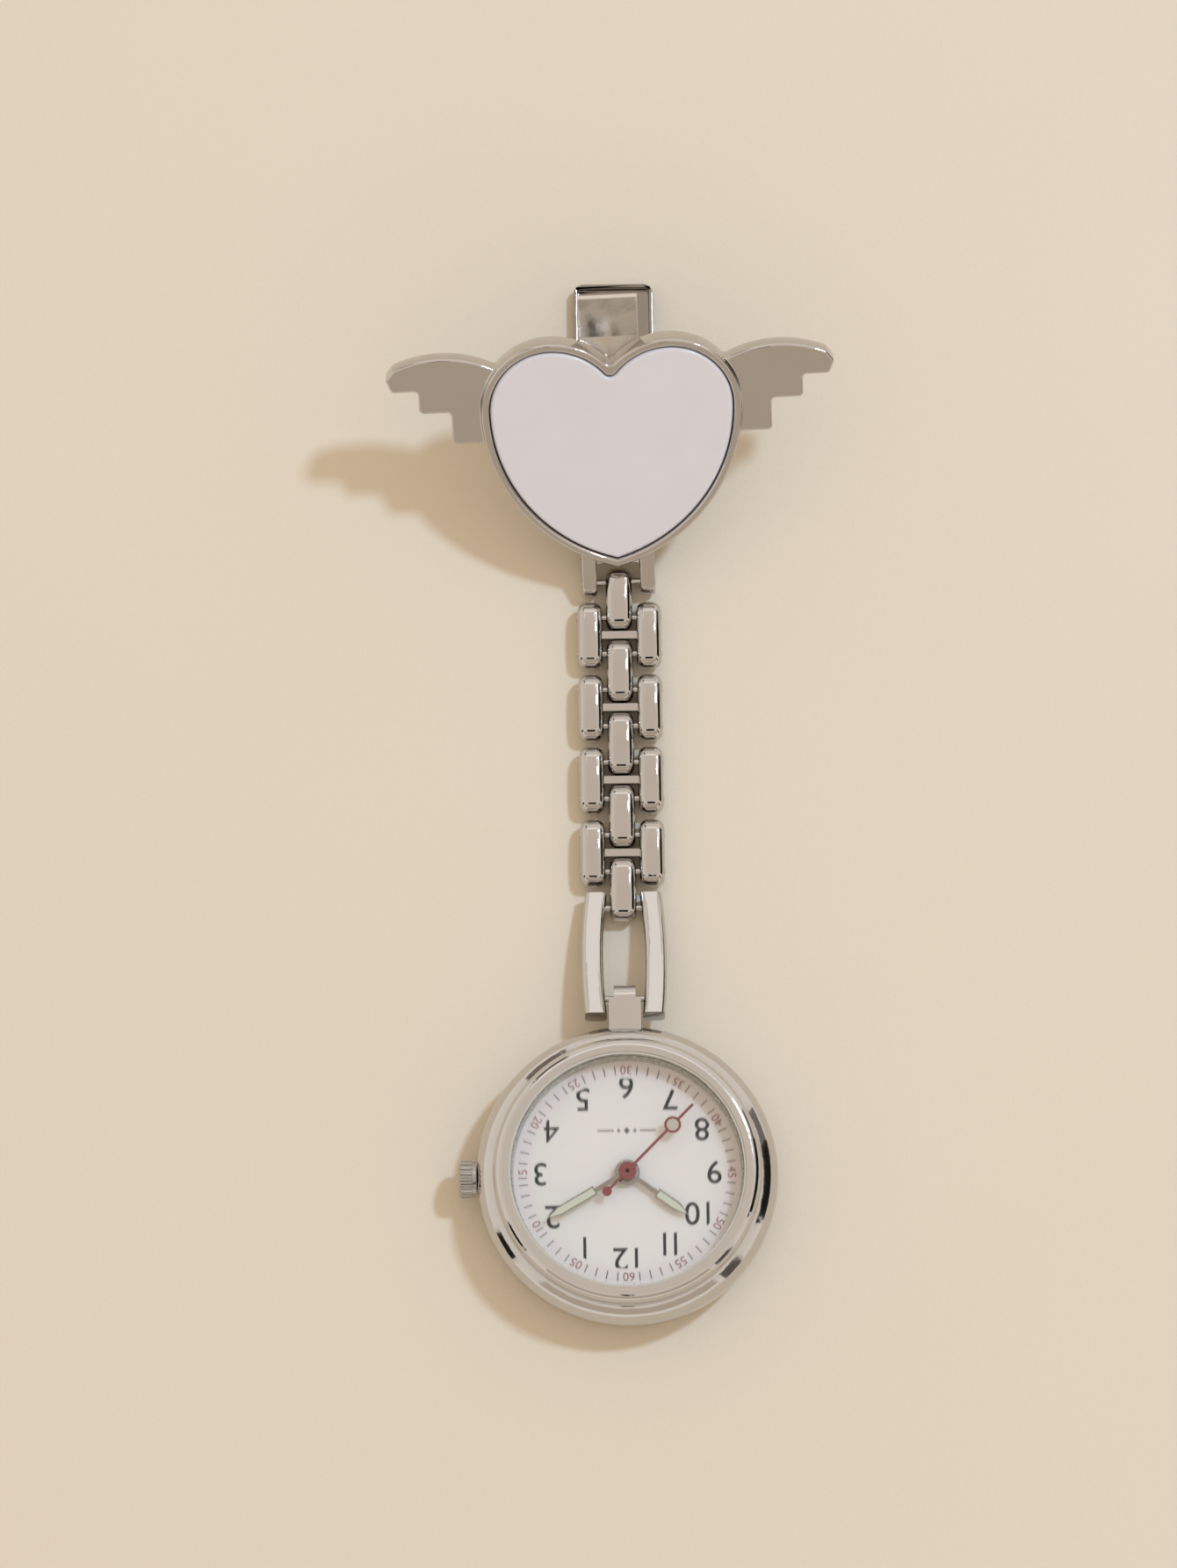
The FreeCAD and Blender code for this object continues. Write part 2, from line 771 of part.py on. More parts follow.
def make_quartz_can():
    lying = Rotation(X_AXIS, 90)
    can_up = "board_top + can_radius"
    can = cylinder("can_radius", "can_length", "can_x", "can_y + can_length", can_up, lying)
    stub = cylinder("0.4 * can_radius", "0.4", "can_x", "can_y + can_length + 0.4", can_up, lying)
    fused("quartz_can", [can, stub])


def make_battery():
    body = new_body("battery")
    revolve(
        body,
        [
            ("0", "bridge_z"),
            ("battery_radius", "bridge_z"),
            ("battery_radius", "battery_top - battery_rim"),
            ("battery_radius - battery_rim", "battery_top - battery_rim"),
            ("battery_radius - battery_rim", "battery_top"),
            ("0", "battery_top"),
        ],
    )
    stand(body, "battery_x", "battery_y")


def make_battery_clamp():
    body = new_body("battery_clamp")
    low = "bridge_z - clamp_thickness"
    strip = box_outline("5.4", "battery_y - 2.2", "7.2", "4.9")
    pad(body, draw(new_sketch(body, start=low), strip), "clamp_thickness")
    hole = draw_circle(new_sketch(body, start=low), *SCREWS_AT[1], "screw_radius")
    pocket(body, hole, "clamp_thickness")


# Hands: each is drawn along its own X axis and turned to its bearing.


def hand_outline(tip, inset, start):
    """A pointed bar from start to the tip, narrowed by inset all round."""
    half = f"(hand_width / 2 - {inset})"
    return [
        (start, minus(half)),
        (f"{tip} - hand_point", minus(half)),
        (f"{tip} - 1.6 * {inset}", "-0.06"),
        (f"{tip} - 1.6 * {inset}", "0.06"),
        (f"{tip} - hand_point", half),
        (start, half),
    ]


def make_baton_hand(name, tube):
    """The hour or the minute hand, and the lume that fills its window."""
    low = name + "_hand_z"
    tip = name + "_hand_tip"
    window = name + "_window_start"
    bearing = name + "_hand_bearing"
    body = new_body(name + "_hand")
    stem = box_outline("0", "-hand_stem / 2", window, "hand_stem / 2")
    pad(body, draw_circle(new_sketch(body, start=low), "0", "0", f"{tube} + 0.2"), "hand_thickness")
    pad(body, draw(new_sketch(body, start=low), stem), "hand_thickness")
    frame = hand_outline(tip, "0", f"{window} - hand_frame")
    pad(body, draw(new_sketch(body, start=low), frame), "hand_thickness")
    inner = hand_outline(tip, "hand_frame", window)
    pocket(body, draw(new_sketch(body, start=low), inner), "hand_thickness")
    pocket(body, draw_circle(new_sketch(body, start=low), "0", "0", tube), "hand_thickness")
    stand(body, rotation=Rotation(Z_AXIS, number(bearing)))
    lume = new_body(name + "_lume")
    pad(lume, draw(new_sketch(lume, start=f"{low} + 0.02"), inner), "hand_thickness")
    stand(lume, rotation=Rotation(Z_AXIS, number(bearing)))


def make_second_hand():
    body = new_body("second_hand")
    half = "second_hand_width / 2"
    bar = box_outline("-second_tail_at", minus(half), "second_hand_tip", half)
    low = "second_hand_z"
    thickness = "hand_thickness - 0.03"
    pad(body, draw(new_sketch(body, start=low), bar), thickness)
    discs = (("second_ring_at", "second_ring_out"), ("-second_tail_at", "second_tail_radius"))
    for across, radius in discs:
        pad(body, draw_circle(new_sketch(body, start=low), across, "0", radius), thickness)
    hub = draw_circle(new_sketch(body, start=f"{low} - 0.06"), "0", "0", "second_hub")
    pad(body, hub, "hand_thickness + 0.06")
    holes = draw_circle(new_sketch(body, start=f"{low} - 0.1"), "0", "0", "arbor_radius")
    draw_circle(holes, "second_ring_at", "0", "second_ring_in")
    pocket(body, holes, "1")
    stand(body, rotation=Rotation(Z_AXIS, number("second_hand_bearing")))
    lume = new_body("second_lume")
    disc = draw_circle(new_sketch(lume, start=low), "second_ring_at", "0", "second_ring_in")
    pad(lume, disc, "hand_thickness - 0.05")
    stand(lume, rotation=Rotation(Z_AXIS, number("second_hand_bearing")))


# Case, bezel, crystal, back, dial.


def make_case():
    body = new_body("case")
    foot_run = "case_radius - band_foot"
    top_run = "case_radius - band_top"
    seal_top = "back_top + back_seal_height"
    revolve(
        body,
        [
            ("back_radius", "band_foot_z"),
            ("band_foot", "band_foot_z", tangent_arc(foot_run, "girth_low - band_foot_z")),
            ("case_radius", "girth_low"),
            ("case_radius", "girth_high", tangent_arc(top_run, "case_top - girth_high")),
            ("band_top", "case_top"),
            ("seat_radius", "case_top"),
            ("seat_radius", "seat_z"),
            ("cavity_radius", "seat_z"),
            ("cavity_radius", "back_top"),
            ("back_seal_in", "back_top"),
            ("back_seal_in", seal_top),
            ("back_seal_out", seal_top),
            ("back_seal_out", "back_top"),
            ("back_radius", "back_top"),
        ],
    )
    add_case_lug(body)
    bore = draw_circle(new_sketch(body, "YZ", "-case_radius - 0.1"), "0", "stem_z", "tube_radius")
    pocket(body, bore, "case_radius + 0.1 - cavity_radius + 0.5")


def add_case_lug(body):
    low = "lug_pin_z - lug_height"
    high = "lug_pin_z + lug_height"
    block = box_outline("lug_root_y", low, "lug_block_y", high)
    pad(body, draw(new_sketch(body, "YZ", "-lug_half"), block), "2 * lug_half")
    nose = [
        ("lug_root_y", low),
        ("lug_pin_y", low, "lug_height"),
        ("lug_pin_y + lug_height", "lug_pin_z", "lug_height"),
        ("lug_pin_y", high),
        ("lug_root_y", high),
    ]
    pad(body, draw(new_sketch(body, "YZ", "-nose_half"), nose), "2 * nose_half")
    bore = new_sketch(body, "YZ", "-2 * lug_half")
    draw_circle(bore, "lug_pin_y", "lug_pin_z", "running_bore")
    pocket(body, bore, "4 * lug_half")


def make_case_tube():
    """The crown runs over this tube, which is pressed into the band."""
    body = new_body("case_tube")
    revolve(body, ring_section("tube_bore", "tube_radius", "tube_in_x", "tube_out_x"))
    stand(body, up="stem_z", rotation=Rotation(Y_AXIS, -90))


def make_bezel():
    body = new_body("bezel")
    round_top = tangent_arc("bezel_radius - bezel_lip", "bezel_top - bezel_shoulder")
    revolve(
        body,
        [
            ("bezel_bore", "seat_z"),
            ("seat_radius", "seat_z"),
            ("seat_radius", "case_top"),
            ("bezel_radius", "case_top"),
            ("bezel_radius", "bezel_shoulder", round_top),
            ("bezel_lip", "bezel_top"),
            ("crystal_seal", "bezel_top"),
            ("crystal_seal", "crystal_z"),
            ("bezel_bore", "crystal_z"),
        ],
    )


def make_crystal():
    body = new_body("crystal")
    flat = "crystal_radius - crystal_bevel"
    dome = f"(({flat})^2 + crystal_crown^2) / (2 * crystal_crown)"
    revolve(
        body,
        [
            ("0", "crystal_z"),
            ("crystal_radius", "crystal_z"),
            ("crystal_radius", "crystal_edge_z"),
            (flat, "crystal_edge_z + crystal_bevel", dome),
            ("0", "crystal_edge_z + crystal_bevel + crystal_crown"),
        ],
    )


def make_rings():
    """The turned rings that need no more than one section."""
    seal = ring_section("crystal_radius", "crystal_seal", "crystal_z", "crystal_edge_z")
    revolve(new_body("crystal_gasket"), seal)
    seal_top = "back_top + back_seal_height"
    seal = ring_section("back_seal_in", "back_seal_out", "back_top", seal_top)
    revolve(new_body("back_gasket"), seal)
    revolve(
        new_body("dial_ring"),
        [
            ("flange_in", "dial_top"),
            ("cavity_radius", "dial_top"),
            ("cavity_radius", "seat_z"),
            ("flange_out", "seat_z"),
            ("flange_out", "crystal_z"),
            ("flange_out - flange_lip", "crystal_z"),
        ],
    )


def make_case_back():
    body = new_body("case_back")
    revolve(
        body,
        [
            ("0", "0"),
            ("back_flat", "0"),
            ("back_radius", "back_bevel"),
            ("back_radius", "back_top"),
            ("0", "back_top"),
        ],
    )


def make_dial():
    body = new_body("dial")
    revolve(
        body,
        [
            ("dial_hole", "dial_z"),
            ("dial_radius", "dial_z"),
            ("dial_radius", "dial_top"),
            ("chapter_radius", "dial_top"),
            ("chapter_radius", "dial_top - chapter_step"),
            ("dial_hole", "dial_top - chapter_step"),
        ],
    )
    for across, along in DIAL_FEET:
        foot = draw_circle(new_sketch(body, start="plate_z + 0.2"), across, along, "dial_foot_radius")
        pad(body, foot, "dial_z - plate_z - 0.2")


# Crown, stem and sliding pinion: their own Z axis is the stem's, pointing out at the crown.


def stand_on_stem(body):
    stand(body, up="stem_z", rotation=Rotation(Y_AXIS, -90))


def make_crown():
    body = new_body("crown")
    end = "crown_x + crown_length"
    revolve(
        body,
        [
            ("crown_recess", "crown_x"),
            ("crown_radius - 0.12", "crown_x"),
            ("crown_radius - 0.12", "crown_x + crown_flange"),
            ("crown_radius", "crown_x + crown_flange + 0.05"),
            ("crown_radius", f"{end} - 0.2"),
            ("crown_radius - 0.2", end),
            ("stem_radius", end),
            ("stem_radius", "crown_x + crown_recess_depth"),
            ("crown_recess", "crown_x + crown_recess_depth"),
        ],
    )
    low = "crown_x + crown_flange"
    flute = draw_circle(new_sketch(body, start=low), "crown_radius", "0", "flute_radius")
    repeat(body, [pocket(body, flute, "crown_length")], int(number("flutes")))
    stand_on_stem(body)


def make_stem():
    """Round outside, square where it slides through the pinion."""
    body = new_body("stem")
    half = "stem_square / 2"
    square = box_outline(minus(half), minus(half), half, half)
    pad(body, draw(new_sketch(body, start="stem_end_x"), square), "stem_shoulder_x - stem_end_x")
    round_part = draw_circle(new_sketch(body, start="stem_shoulder_x"), "0", "0", "stem_radius")
    pad(body, round_part, "crown_x + crown_length - stem_shoulder_x")
    stand_on_stem(body)


def make_sliding_pinion():
    body = new_body("sliding_pinion")
    half = "square_bore / 2"
    add_teeth(body, 12, "slider_radius", "slider_x", "slider_length", "0")
    square = box_outline(minus(half), minus(half), half, half)
    pocket(body, draw(new_sketch(body, start="slider_x"), square), "slider_length")
    stand_on_stem(body)


# Chain and fork. A link's first pin is at its own origin, its second one pitch back along Y.


def far_pin_y():
    """Where the fork meets the chain: the fork slopes down from the case lug."""
    return "(lug_pin_y + sqrt(fork_length^2 - (lug_pin_z - pin_z)^2))"


def chain_pin_y(index):
    """Pins are counted from the brooch: 0 at the heart, 9 at the fork."""
    return f"{far_pin_y()} + {9 - index} * pitch"


def is_side_edge(edge):
    """An edge of the flat left or right faces: it lies in one plane of constant x."""
    box_of = edge.BoundBox
    return box_of.XLength < 1e-6 and abs(box_of.XMin) > 0.5


def make_centre_link(index):
    body = new_body(f"centre_link_{index + 1}")
    pad(body, draw(new_sketch(body, "YZ", "-centre_half"), link_side()), "2 * centre_half")
    round_edges(body, "link_rounding", is_side_edge)
    bores = new_sketch(body, "YZ", "-2 * centre_half")
    draw_circle(bores, "0", "0", "loose_bore" if index == 0 else "running_bore")
    draw_circle(bores, "-pitch", "0", "running_bore")
    pocket(body, bores, "4 * centre_half")
    stand(body, along=chain_pin_y(2 * index), up="pin_z")


def make_outer_link(index):
    """Two rails joined by a web in the gap between the centre links."""
    body = new_body(f"outer_link_{index + 1}")
    side = link_side("rail_over")
    width = "rail_out - rail_in"
    middle = "-pitch / 2"
    web = box_outline(
        f"{middle} - web_half", "-web_half_height", f"{middle} + web_half", "web_half_height"
    )
    pad(body, draw(new_sketch(body, "YZ", "-rail_out"), side), width)
    pad(body, draw(new_sketch(body, "YZ", "-rail_in"), web), "2 * rail_in")
    pad(body, draw(new_sketch(body, "YZ", "rail_in"), side), width)
    round_edges(body, "link_rounding", lambda edge: is_side_edge(edge) and not on_web(edge))
    bores = new_sketch(body, "YZ", "-2 * rail_out")
    draw_circle(bores, "0", "0", "pin_radius")
    draw_circle(bores, "-pitch", "0", "pin_radius")
    pocket(body, bores, "4 * rail_out")
    stand(body, along=chain_pin_y(2 * index + 1), up="pin_z")


def on_web(edge):
    """The web's own edges are short, low and near the middle of the link."""
    size = edge.BoundBox
    reach = max(abs(size.ZMin), abs(size.ZMax))
    return reach < number("web_half_height") + 0.01


def cross_pin(half, along, up):
    """A pin along X, with its middle at X = 0."""
    return cylinder("pin_radius", f"2 * {half}", minus(half), along, up, Rotation(Y_AXIS, 90))


def make_chain_pins():
    for index in range(4):
        ends = [cross_pin("pin_half", chain_pin_y(2 * index + step), "pin_z") for step in (1, 2)]
        fused(f"link_pins_{index + 1}", ends)
    far = cross_pin("(fork_in_far + fork_bar_width + pin_proud)", far_pin_y(), "pin_z")
    near = cross_pin("(fork_in_near + fork_bar_width + pin_proud)", "lug_pin_y", "lug_pin_z")
    fused("fork_pins", [far, near])


def make_fork_bar(name, hand):
    """A bowed bar, seen from above along its own Y, with hand +1 on the right."""
    body = new_body(name)
    near = "(-fork_length - fork_over_near)"
    middle = "(-fork_length / 2)"
    spread = "(0.25 * (fork_length + fork_over_near + fork_over_far)^2)"
    bow = "(fork_in_bow - (fork_in_far + fork_in_near) / 2)"
    inner = f"(({spread} + {bow}^2) / (2 * {bow}))"
    outer_far = "(fork_in_far + fork_bar_width)"
    outer_near = "(fork_in_near + fork_bar_width)"
    outline = [
        ("fork_in_far", "fork_over_far", minus(inner)),
        ("fork_in_near", near),
        (outer_near, near, inner),
        (outer_far, "fork_over_far"),
    ]
    if hand < 0:
        outline = [
            (minus("fork_in_near"), near, minus(inner)),
            (minus("fork_in_far"), "fork_over_far"),
            (minus(outer_far), "fork_over_far", inner),
            (minus(outer_near), near),
        ]
    pad(body, draw(new_sketch(body, start="-fork_half_height"), outline), "2 * fork_half_height")
    round_edges(body, "fork_rounding", is_long_edge)
    reach = f"({outer_near} + 1)"
    bores = new_sketch(body, "YZ", minus(reach))
    draw_circle(bores, "0", "0", "pin_radius")
    draw_circle(bores, "-fork_length", "0", "pin_radius")
    pocket(body, bores, f"2 * {reach}")
    slope = math.degrees(math.asin(number("(lug_pin_z - pin_z) / fork_length")))
    stand(body, along=far_pin_y(), up="pin_z", rotation=Rotation(X_AXIS, -slope))


def is_long_edge(edge):
    return edge.Length > 8


# Brooch. Its own frame stands at the first chain pin, tilted up and turned a little.


def brooch_placement():
    turn = Rotation(Z_AXIS, number("brooch_yaw")).multiply(Rotation(X_AXIS, number("brooch_tilt")))
    return FreeCAD.Placement(Vector(0, number(chain_pin_y(0)), number("pin_z")), turn)


def ground_placement():
    """At the first chain pin, turned with the brooch but level."""
    turn = Rotation(Z_AXIS, number("brooch_yaw"))
    return FreeCAD.Placement(Vector(0, number(chain_pin_y(0)), 0), turn)


def lever_placement():
    """Level like the ground, but turned and slid a little within the play of its hinge pin."""
    centre = clip_pin_centre()
    turn = Rotation(Z_AXIS, number("lever_turn"))
    slide = Vector(number("lever_slide"), 0, 0)
    about_pin = FreeCAD.Placement(centre + slide, turn)
    return ground_placement().multiply(about_pin).multiply(FreeCAD.Placement(-centre, Rotation()))


def add_shape(label, shape, placement):
    item = doc.addObject("Part::Feature", label)
    item.Label = label
    item.Shape = shape
    item.Placement = placement.multiply(shape.Placement)
    sub_parts.append(item)


def add_pin(label, half, placement):
    """A pin along X through the placement's origin."""
    item = doc.addObject("Part::Cylinder", label)
    item.Label = label
    for side, size in (("Radius", "pin_radius"), ("Height", f"2 * {half}")):
        setattr(item, side, number(size))
        bind(item, side, size)
    across = FreeCAD.Placement(Vector(-number(half), 0, 0), Rotation(Y_AXIS, 90))
    item.Placement = placement.multiply(across)
    sub_parts.append(item)


def heart_face(inset):
    """The heart's outline, moved in by inset: a notch arc, a lobe arc and a flank arc each side."""
    lobe_x = number("lobe_x")
    lobe_up = number("tip_up + lobe_up")
    lobe = number("lobe_round") - inset
    notch = number("notch_round") - inset
    flank = number("flank_round") - inset
    notch_up = lobe_up + number("lobe_round - notch_round")
    flank_x = lobe_x + number("lobe_round - flank_round")
    middle_notch = Vector(0, notch_up + math.sqrt(notch**2 - lobe_x**2), 0)
    middle_tip = Vector(0, lobe_up - math.sqrt(flank**2 - flank_x**2), 0)

    def on_arc(centre_x, centre_up, radius, bearing):
        turn = math.radians(bearing)
        return Vector(centre_x + radius * math.cos(turn), centre_up + radius * math.sin(turn), 0)

    half_notch = (90 + math.degrees(math.acos(-lobe_x / notch))) / 2
    half_flank = math.degrees(math.asin((middle_tip.y - lobe_up) / flank)) / 2
    top = on_arc(lobe_x, lobe_up, lobe, 90)
    side = on_arc(lobe_x, lobe_up, lobe, 0)
    right = [
        (middle_notch, on_arc(lobe_x, notch_up, notch, half_notch), top),
        (top, on_arc(lobe_x, lobe_up, lobe, 45), side),
        (side, on_arc(flank_x, lobe_up, flank, half_flank), middle_tip),
    ]
    left = [tuple(Vector(-p.x, p.y, 0) for p in reversed(arc)) for arc in reversed(right)]
    edges = [Part.Arc(*arc).toShape() for arc in right + left]
    return Part.Face(Part.Wire(edges))


def raised(face, low, high):
    solid = face.extrude(Vector(0, 0, high - low))
    solid.translate(Vector(0, 0, low))
    return solid


def is_upright(edge):
    size = edge.BoundBox
    return size.XLength < 1e-6 and size.YLength < 1e-6


def raised_heart(inset, low, high):
    """The heart's outline as a solid, with its notch rounded."""
    solid = raised(heart_face(inset), low, high)
    above = number("tip_up + lobe_up")
    notch = [edge for edge in solid.Edges if is_upright(edge) and abs(edge.BoundBox.XMin) < 1e-6]
    return solid.makeFillet(number("notch_soft"), [e for e in notch if e.BoundBox.YMin > above])


FEATHERS = ("inner_feather", "middle_feather", "outer_feather")


def wing_point(name):
    return Vector(number(name + "_x"), number("tip_up") + number(name + "_up"), 0)


def wing_face(hand):
    """One wing: three stepped feathers below, one long arc above. hand is +1 on the right."""
    root = wing_point("wing_root")
    outline = [root]
    for name in FEATHERS:
        corner = wing_point(name)
        outline += [Vector(outline[-1].x, corner.y, 0), corner]
    outline += [wing_point("wing_end"), wing_point("wing_tip")]
    edges = [Part.makeLine(a, b) for a, b in zip(outline, outline[1:])]
    edges.append(Part.Arc(outline[-1], wing_point("wing_top"), root).toShape())
    face = Part.Face(Part.Wire(edges))
    return face if hand > 0 else face.mirror(Vector(), X_AXIS)


def is_feather_corner(edge):
    """The upright edges of a wing, apart from the one inside the heart."""
    return is_upright(edge) and abs(edge.BoundBox.XMin) > number("wing_root_x + 1")


def make_heart_lug(left, right):
    """A lug from inside the heart's back to a round end about the first chain pin."""
    radius = number("link_radius")
    arm = Part.makeBox(right - left, number("heart_lug_up"), 2 * radius, Vector(left, 0, -radius))
    return arm.fuse(Part.makeCylinder(radius, right - left, Vector(left, 0, 0), X_AXIS))


def make_heart_casting():
    back = number("heart_back")
    front = number("rim_front")
    solid = raised_heart(0, back, front)
    for hand in (1, -1):
        wing = raised(wing_face(hand), back, number("wing_front"))
        corners = [edge for edge in wing.Edges if is_feather_corner(edge)]
        solid = solid.fuse(wing.makeFillet(number("feather_rounding"), corners))
    inner = number("heart_lug_in")
    outer = number("heart_lug_out")
    solid = solid.fuse(make_heart_lug(-outer, -inner)).fuse(make_heart_lug(inner, outer))
    up = number("bridge_up")
    half = number("bridge_half")
    bridge = Part.makeBox(2 * inner, number("heart_lug_up") - up, 2 * half, Vector(-inner, up, -half))
    solid = solid.fuse(bridge).removeSplitter()
    well = raised_heart(number("rim_width"), number("inlay_floor"), front + 1)
    solid = solid.cut(well)
    bore = Part.makeCylinder(number("pin_radius"), 4 * outer, Vector(-2 * outer, 0, 0), X_AXIS)
    add_shape("heart_casting", solid.cut(bore).removeSplitter(), brooch_placement())


def make_heart_inlay():
    inset = number("rim_width + inlay_gap")
    front = number("inlay_front")
    solid = raised_heart(inset, number("inlay_floor"), front)
    edges = [edge for edge in solid.Edges if edge.BoundBox.ZMin > front - 1e-6]
    add_shape("heart_inlay", solid.makeFillet(number("inlay_rounding"), edges), brooch_placement())


def strip(points, thickness, half):
    """A bent sheet, half to each side of X = 0: its side view follows the points (0, along, up),
    with the sheet on their left, or on their right if the thickness is negative."""
    other = []
    for i, here in enumerate(points):
        before = (here - points[i - 1]).normalize() if i else None
        after = (points[i + 1] - here).normalize() if i + 1 < len(points) else None
        way = (before or after) + (after or before)
        way.normalize()
        reach = thickness / way.dot(before or after)
        other.append(here + Vector(0, -way.z, way.y) * reach)
    return prism(points + other[::-1], -half, half)


def prism(outline, left, right):
    """A solid between two planes of constant x, whose side view is the outline (0, along, up)."""
    face = Part.Face(Part.makePolygon(outline + outline[:1]))
    face.translate(Vector(left, 0, 0))
    return face.extrude(Vector(right - left, 0, 0))


def clip_ear(left):
    """A tapered ear below the base sheet, round about the hinge pin."""
    up = number("clip_pin_up")
    radius = number("ear_radius")
    root = number("ear_root")
    top = number("heart_back - sheet / 2")
    pin = -number("clip_pin_depth")
    corners = ((up - root, top), (up - radius, pin), (up + radius, pin), (up + root, top))
    right = left + number("sheet")
    plate = prism([Vector(0, *corner) for corner in corners], left, right)
    return plate.fuse(Part.makeCylinder(radius, right - left, Vector(left, up, pin), X_AXIS))


def make_clip_base():
    """A sheet on the heart's back, with a finger tab above the notch and two ears for the pin."""
    back = number("heart_back")
    half = number("clip_half")
    bend = number("clip_bend_up")
    tilt = math.radians(number("clip_tab_bend"))
    tab = number("clip_tab")
    path = [
        Vector(0, number("clip_foot_up"), back),
        Vector(0, bend, back),
        Vector(0, bend + tab * math.cos(tilt), back + tab * math.sin(tilt)),
    ]
    solid = strip(path, -number("sheet"), half)
    for left in (-half, half - number("sheet")):
        solid = solid.fuse(clip_ear(left))
    middle = Vector(-2 * half, number("clip_pin_up"), -number("clip_pin_depth"))
    bore = Part.makeCylinder(number("pin_radius"), 4 * half, middle, X_AXIS)
    add_shape("clip_base", solid.cut(bore).removeSplitter(), brooch_placement())


def levelled(along, up):
    """A point of the brooch's own side view, in the level frame at the first chain pin."""
    tilt = math.radians(number("brooch_tilt"))
    level_along = along * math.cos(tilt) - up * math.sin(tilt)
    return Vector(0, level_along, number("pin_z") + along * math.sin(tilt) + up * math.cos(tilt))


def clip_pin_centre():
    return levelled(number("clip_pin_up"), -number("clip_pin_depth"))


def lever_cheek(left, shelf):
    """A side wall from the shelf under the hinge pin down to the thumb pad."""
    centre = clip_pin_centre()
    start = number("lever_pad_start")
    end = start + number("cheek_end")
    top = number("cheek_top")
    over = centre.z + number("cheek_over_pin")
    corners = (
        (centre.y - number("cheek_root"), shelf - number("sheet")),
        (centre.y, shelf - number("sheet")),
        (start, 0),
        (end, 0),
        (end, number("lever_wall_top")),
        (centre.y + top, over),
        (centre.y - top, over),
    )
    return prism([Vector(0, *corner) for corner in corners], left, left + number("lever_wall"))


def make_clip_lever():
    """A tray-shaped thumb pad flat on the ground, a shelf under the hinge pin and the jaw."""
    centre = clip_pin_centre()
    size = number("sheet")
    half = number("lever_half")
    wall = number("lever_wall")
    start = number("lever_pad_start")
    end = number("lever_pad_end")
    shelf = centre.z - number("lever_under_pin")
    jaw = levelled(number("jaw_up"), number("heart_back - sheet - jaw_gap"))
    bend = Vector(0, number("jaw_bend_y"), shelf)
    path = [jaw, bend, Vector(0, centre.y, shelf), Vector(0, start, size), Vector(0, end, size)]
    solid = strip(path, -size, half)
    top = number("lever_wall_top")
    for left in (-half, half - wall):
        rim = Part.makeBox(wall, end - start, top, Vector(left, start, 0))
        solid = solid.fuse(rim).fuse(lever_cheek(left, shelf))
    solid = solid.fuse(Part.makeBox(2 * half, wall, top, Vector(-half, end - wall, 0)))
    middle = Vector(-2 * half, centre.y, centre.z)
    bore = Part.makeCylinder(number("lever_bore"), 4 * half, middle, X_AXIS)
    solid = solid.removeSplitter().cut(bore)
    corners = [edge for edge in solid.Edges if is_pad_corner(edge, end)]
    rounded = solid.makeFillet(number("pad_corner"), corners)
    add_shape("clip_lever", rounded, lever_placement())


def is_pad_corner(edge, end):
    return is_upright(edge) and edge.BoundBox.YMin > end - 1e-6


def make_clip_spring():
    """A close-wound torsion spring on the hinge pin: one leg on the base sheet, one on the lever."""
    body = new_body("clip_spring")
    turns = int(number("spring_turns"))
    half = f"({turns} * spring_wire)"
    inner = "spring_mean - spring_wire"
    waist = "spring_mean + 0.3 * spring_wire"
    section = [(inner, minus(half))]
    for i in range(turns):
        section.append((waist, f"{2 * i} * spring_wire - {half}", "1.05 * spring_wire"))
    revolve(body, section + [(waist, half), (inner, half)])
    for side, reach in (("1", "spring_leg_up"), ("-1", "spring_leg_down")):
        up = f"{side} * ({half} - spring_wire)"
        wire = draw_circle(new_sketch(body, "XZ"), "spring_mean", up, "0.9 * spring_wire")
        pad(body, wire, reach).Reversed = side == "1"
    turn = Rotation(X_AXIS, number("brooch_tilt + spring_turn")).multiply(Rotation(Y_AXIS, 90))
    body.Placement = ground_placement().multiply(FreeCAD.Placement(clip_pin_centre(), turn))


def make_brooch_pins():
    at_clip = FreeCAD.Placement(
        Vector(0, number("clip_pin_up"), -number("clip_pin_depth")), Rotation()
    )
    add_pin("clip_pin", "clip_pin_half", brooch_placement().multiply(at_clip))
    add_pin("brooch_pin", "(heart_lug_out + pin_proud)", brooch_placement())


def make_brooch():
    make_heart_casting()
    make_heart_inlay()
    make_clip_base()
    make_clip_spring()
    make_clip_lever()
    make_brooch_pins()


def make_chain():
    for index in range(5):
        make_centre_link(index)
    for index in range(4):
        make_outer_link(index)
    make_fork_bar("fork_bar_left", -1)
    make_fork_bar("fork_bar_right", 1)
    make_chain_pins()


def make_watch_case():
    make_case()
    make_case_tube()
    make_bezel()
    make_crystal()
    make_rings()
    make_case_back()
    make_dial()


def make_movement():
    make_main_plate()
    make_train_bridge()
    make_movement_screws()
    make_movement_ring()
    make_stator()
    make_coil()
    make_circuit_board()
    make_quartz_can()
    make_battery()
    make_battery_clamp()
    make_rotor()
    make_fifth_wheel()
    make_second_wheel()
    make_third_wheel()
    make_centre_wheel()
    make_minute_wheel()
    make_hour_wheel()


def make_hands_and_crown():
    make_baton_hand("hour", "hour_tube")
    make_baton_hand("minute", "cannon_radius")
    make_second_hand()
    make_crown()
    make_stem()
    make_sliding_pinion()


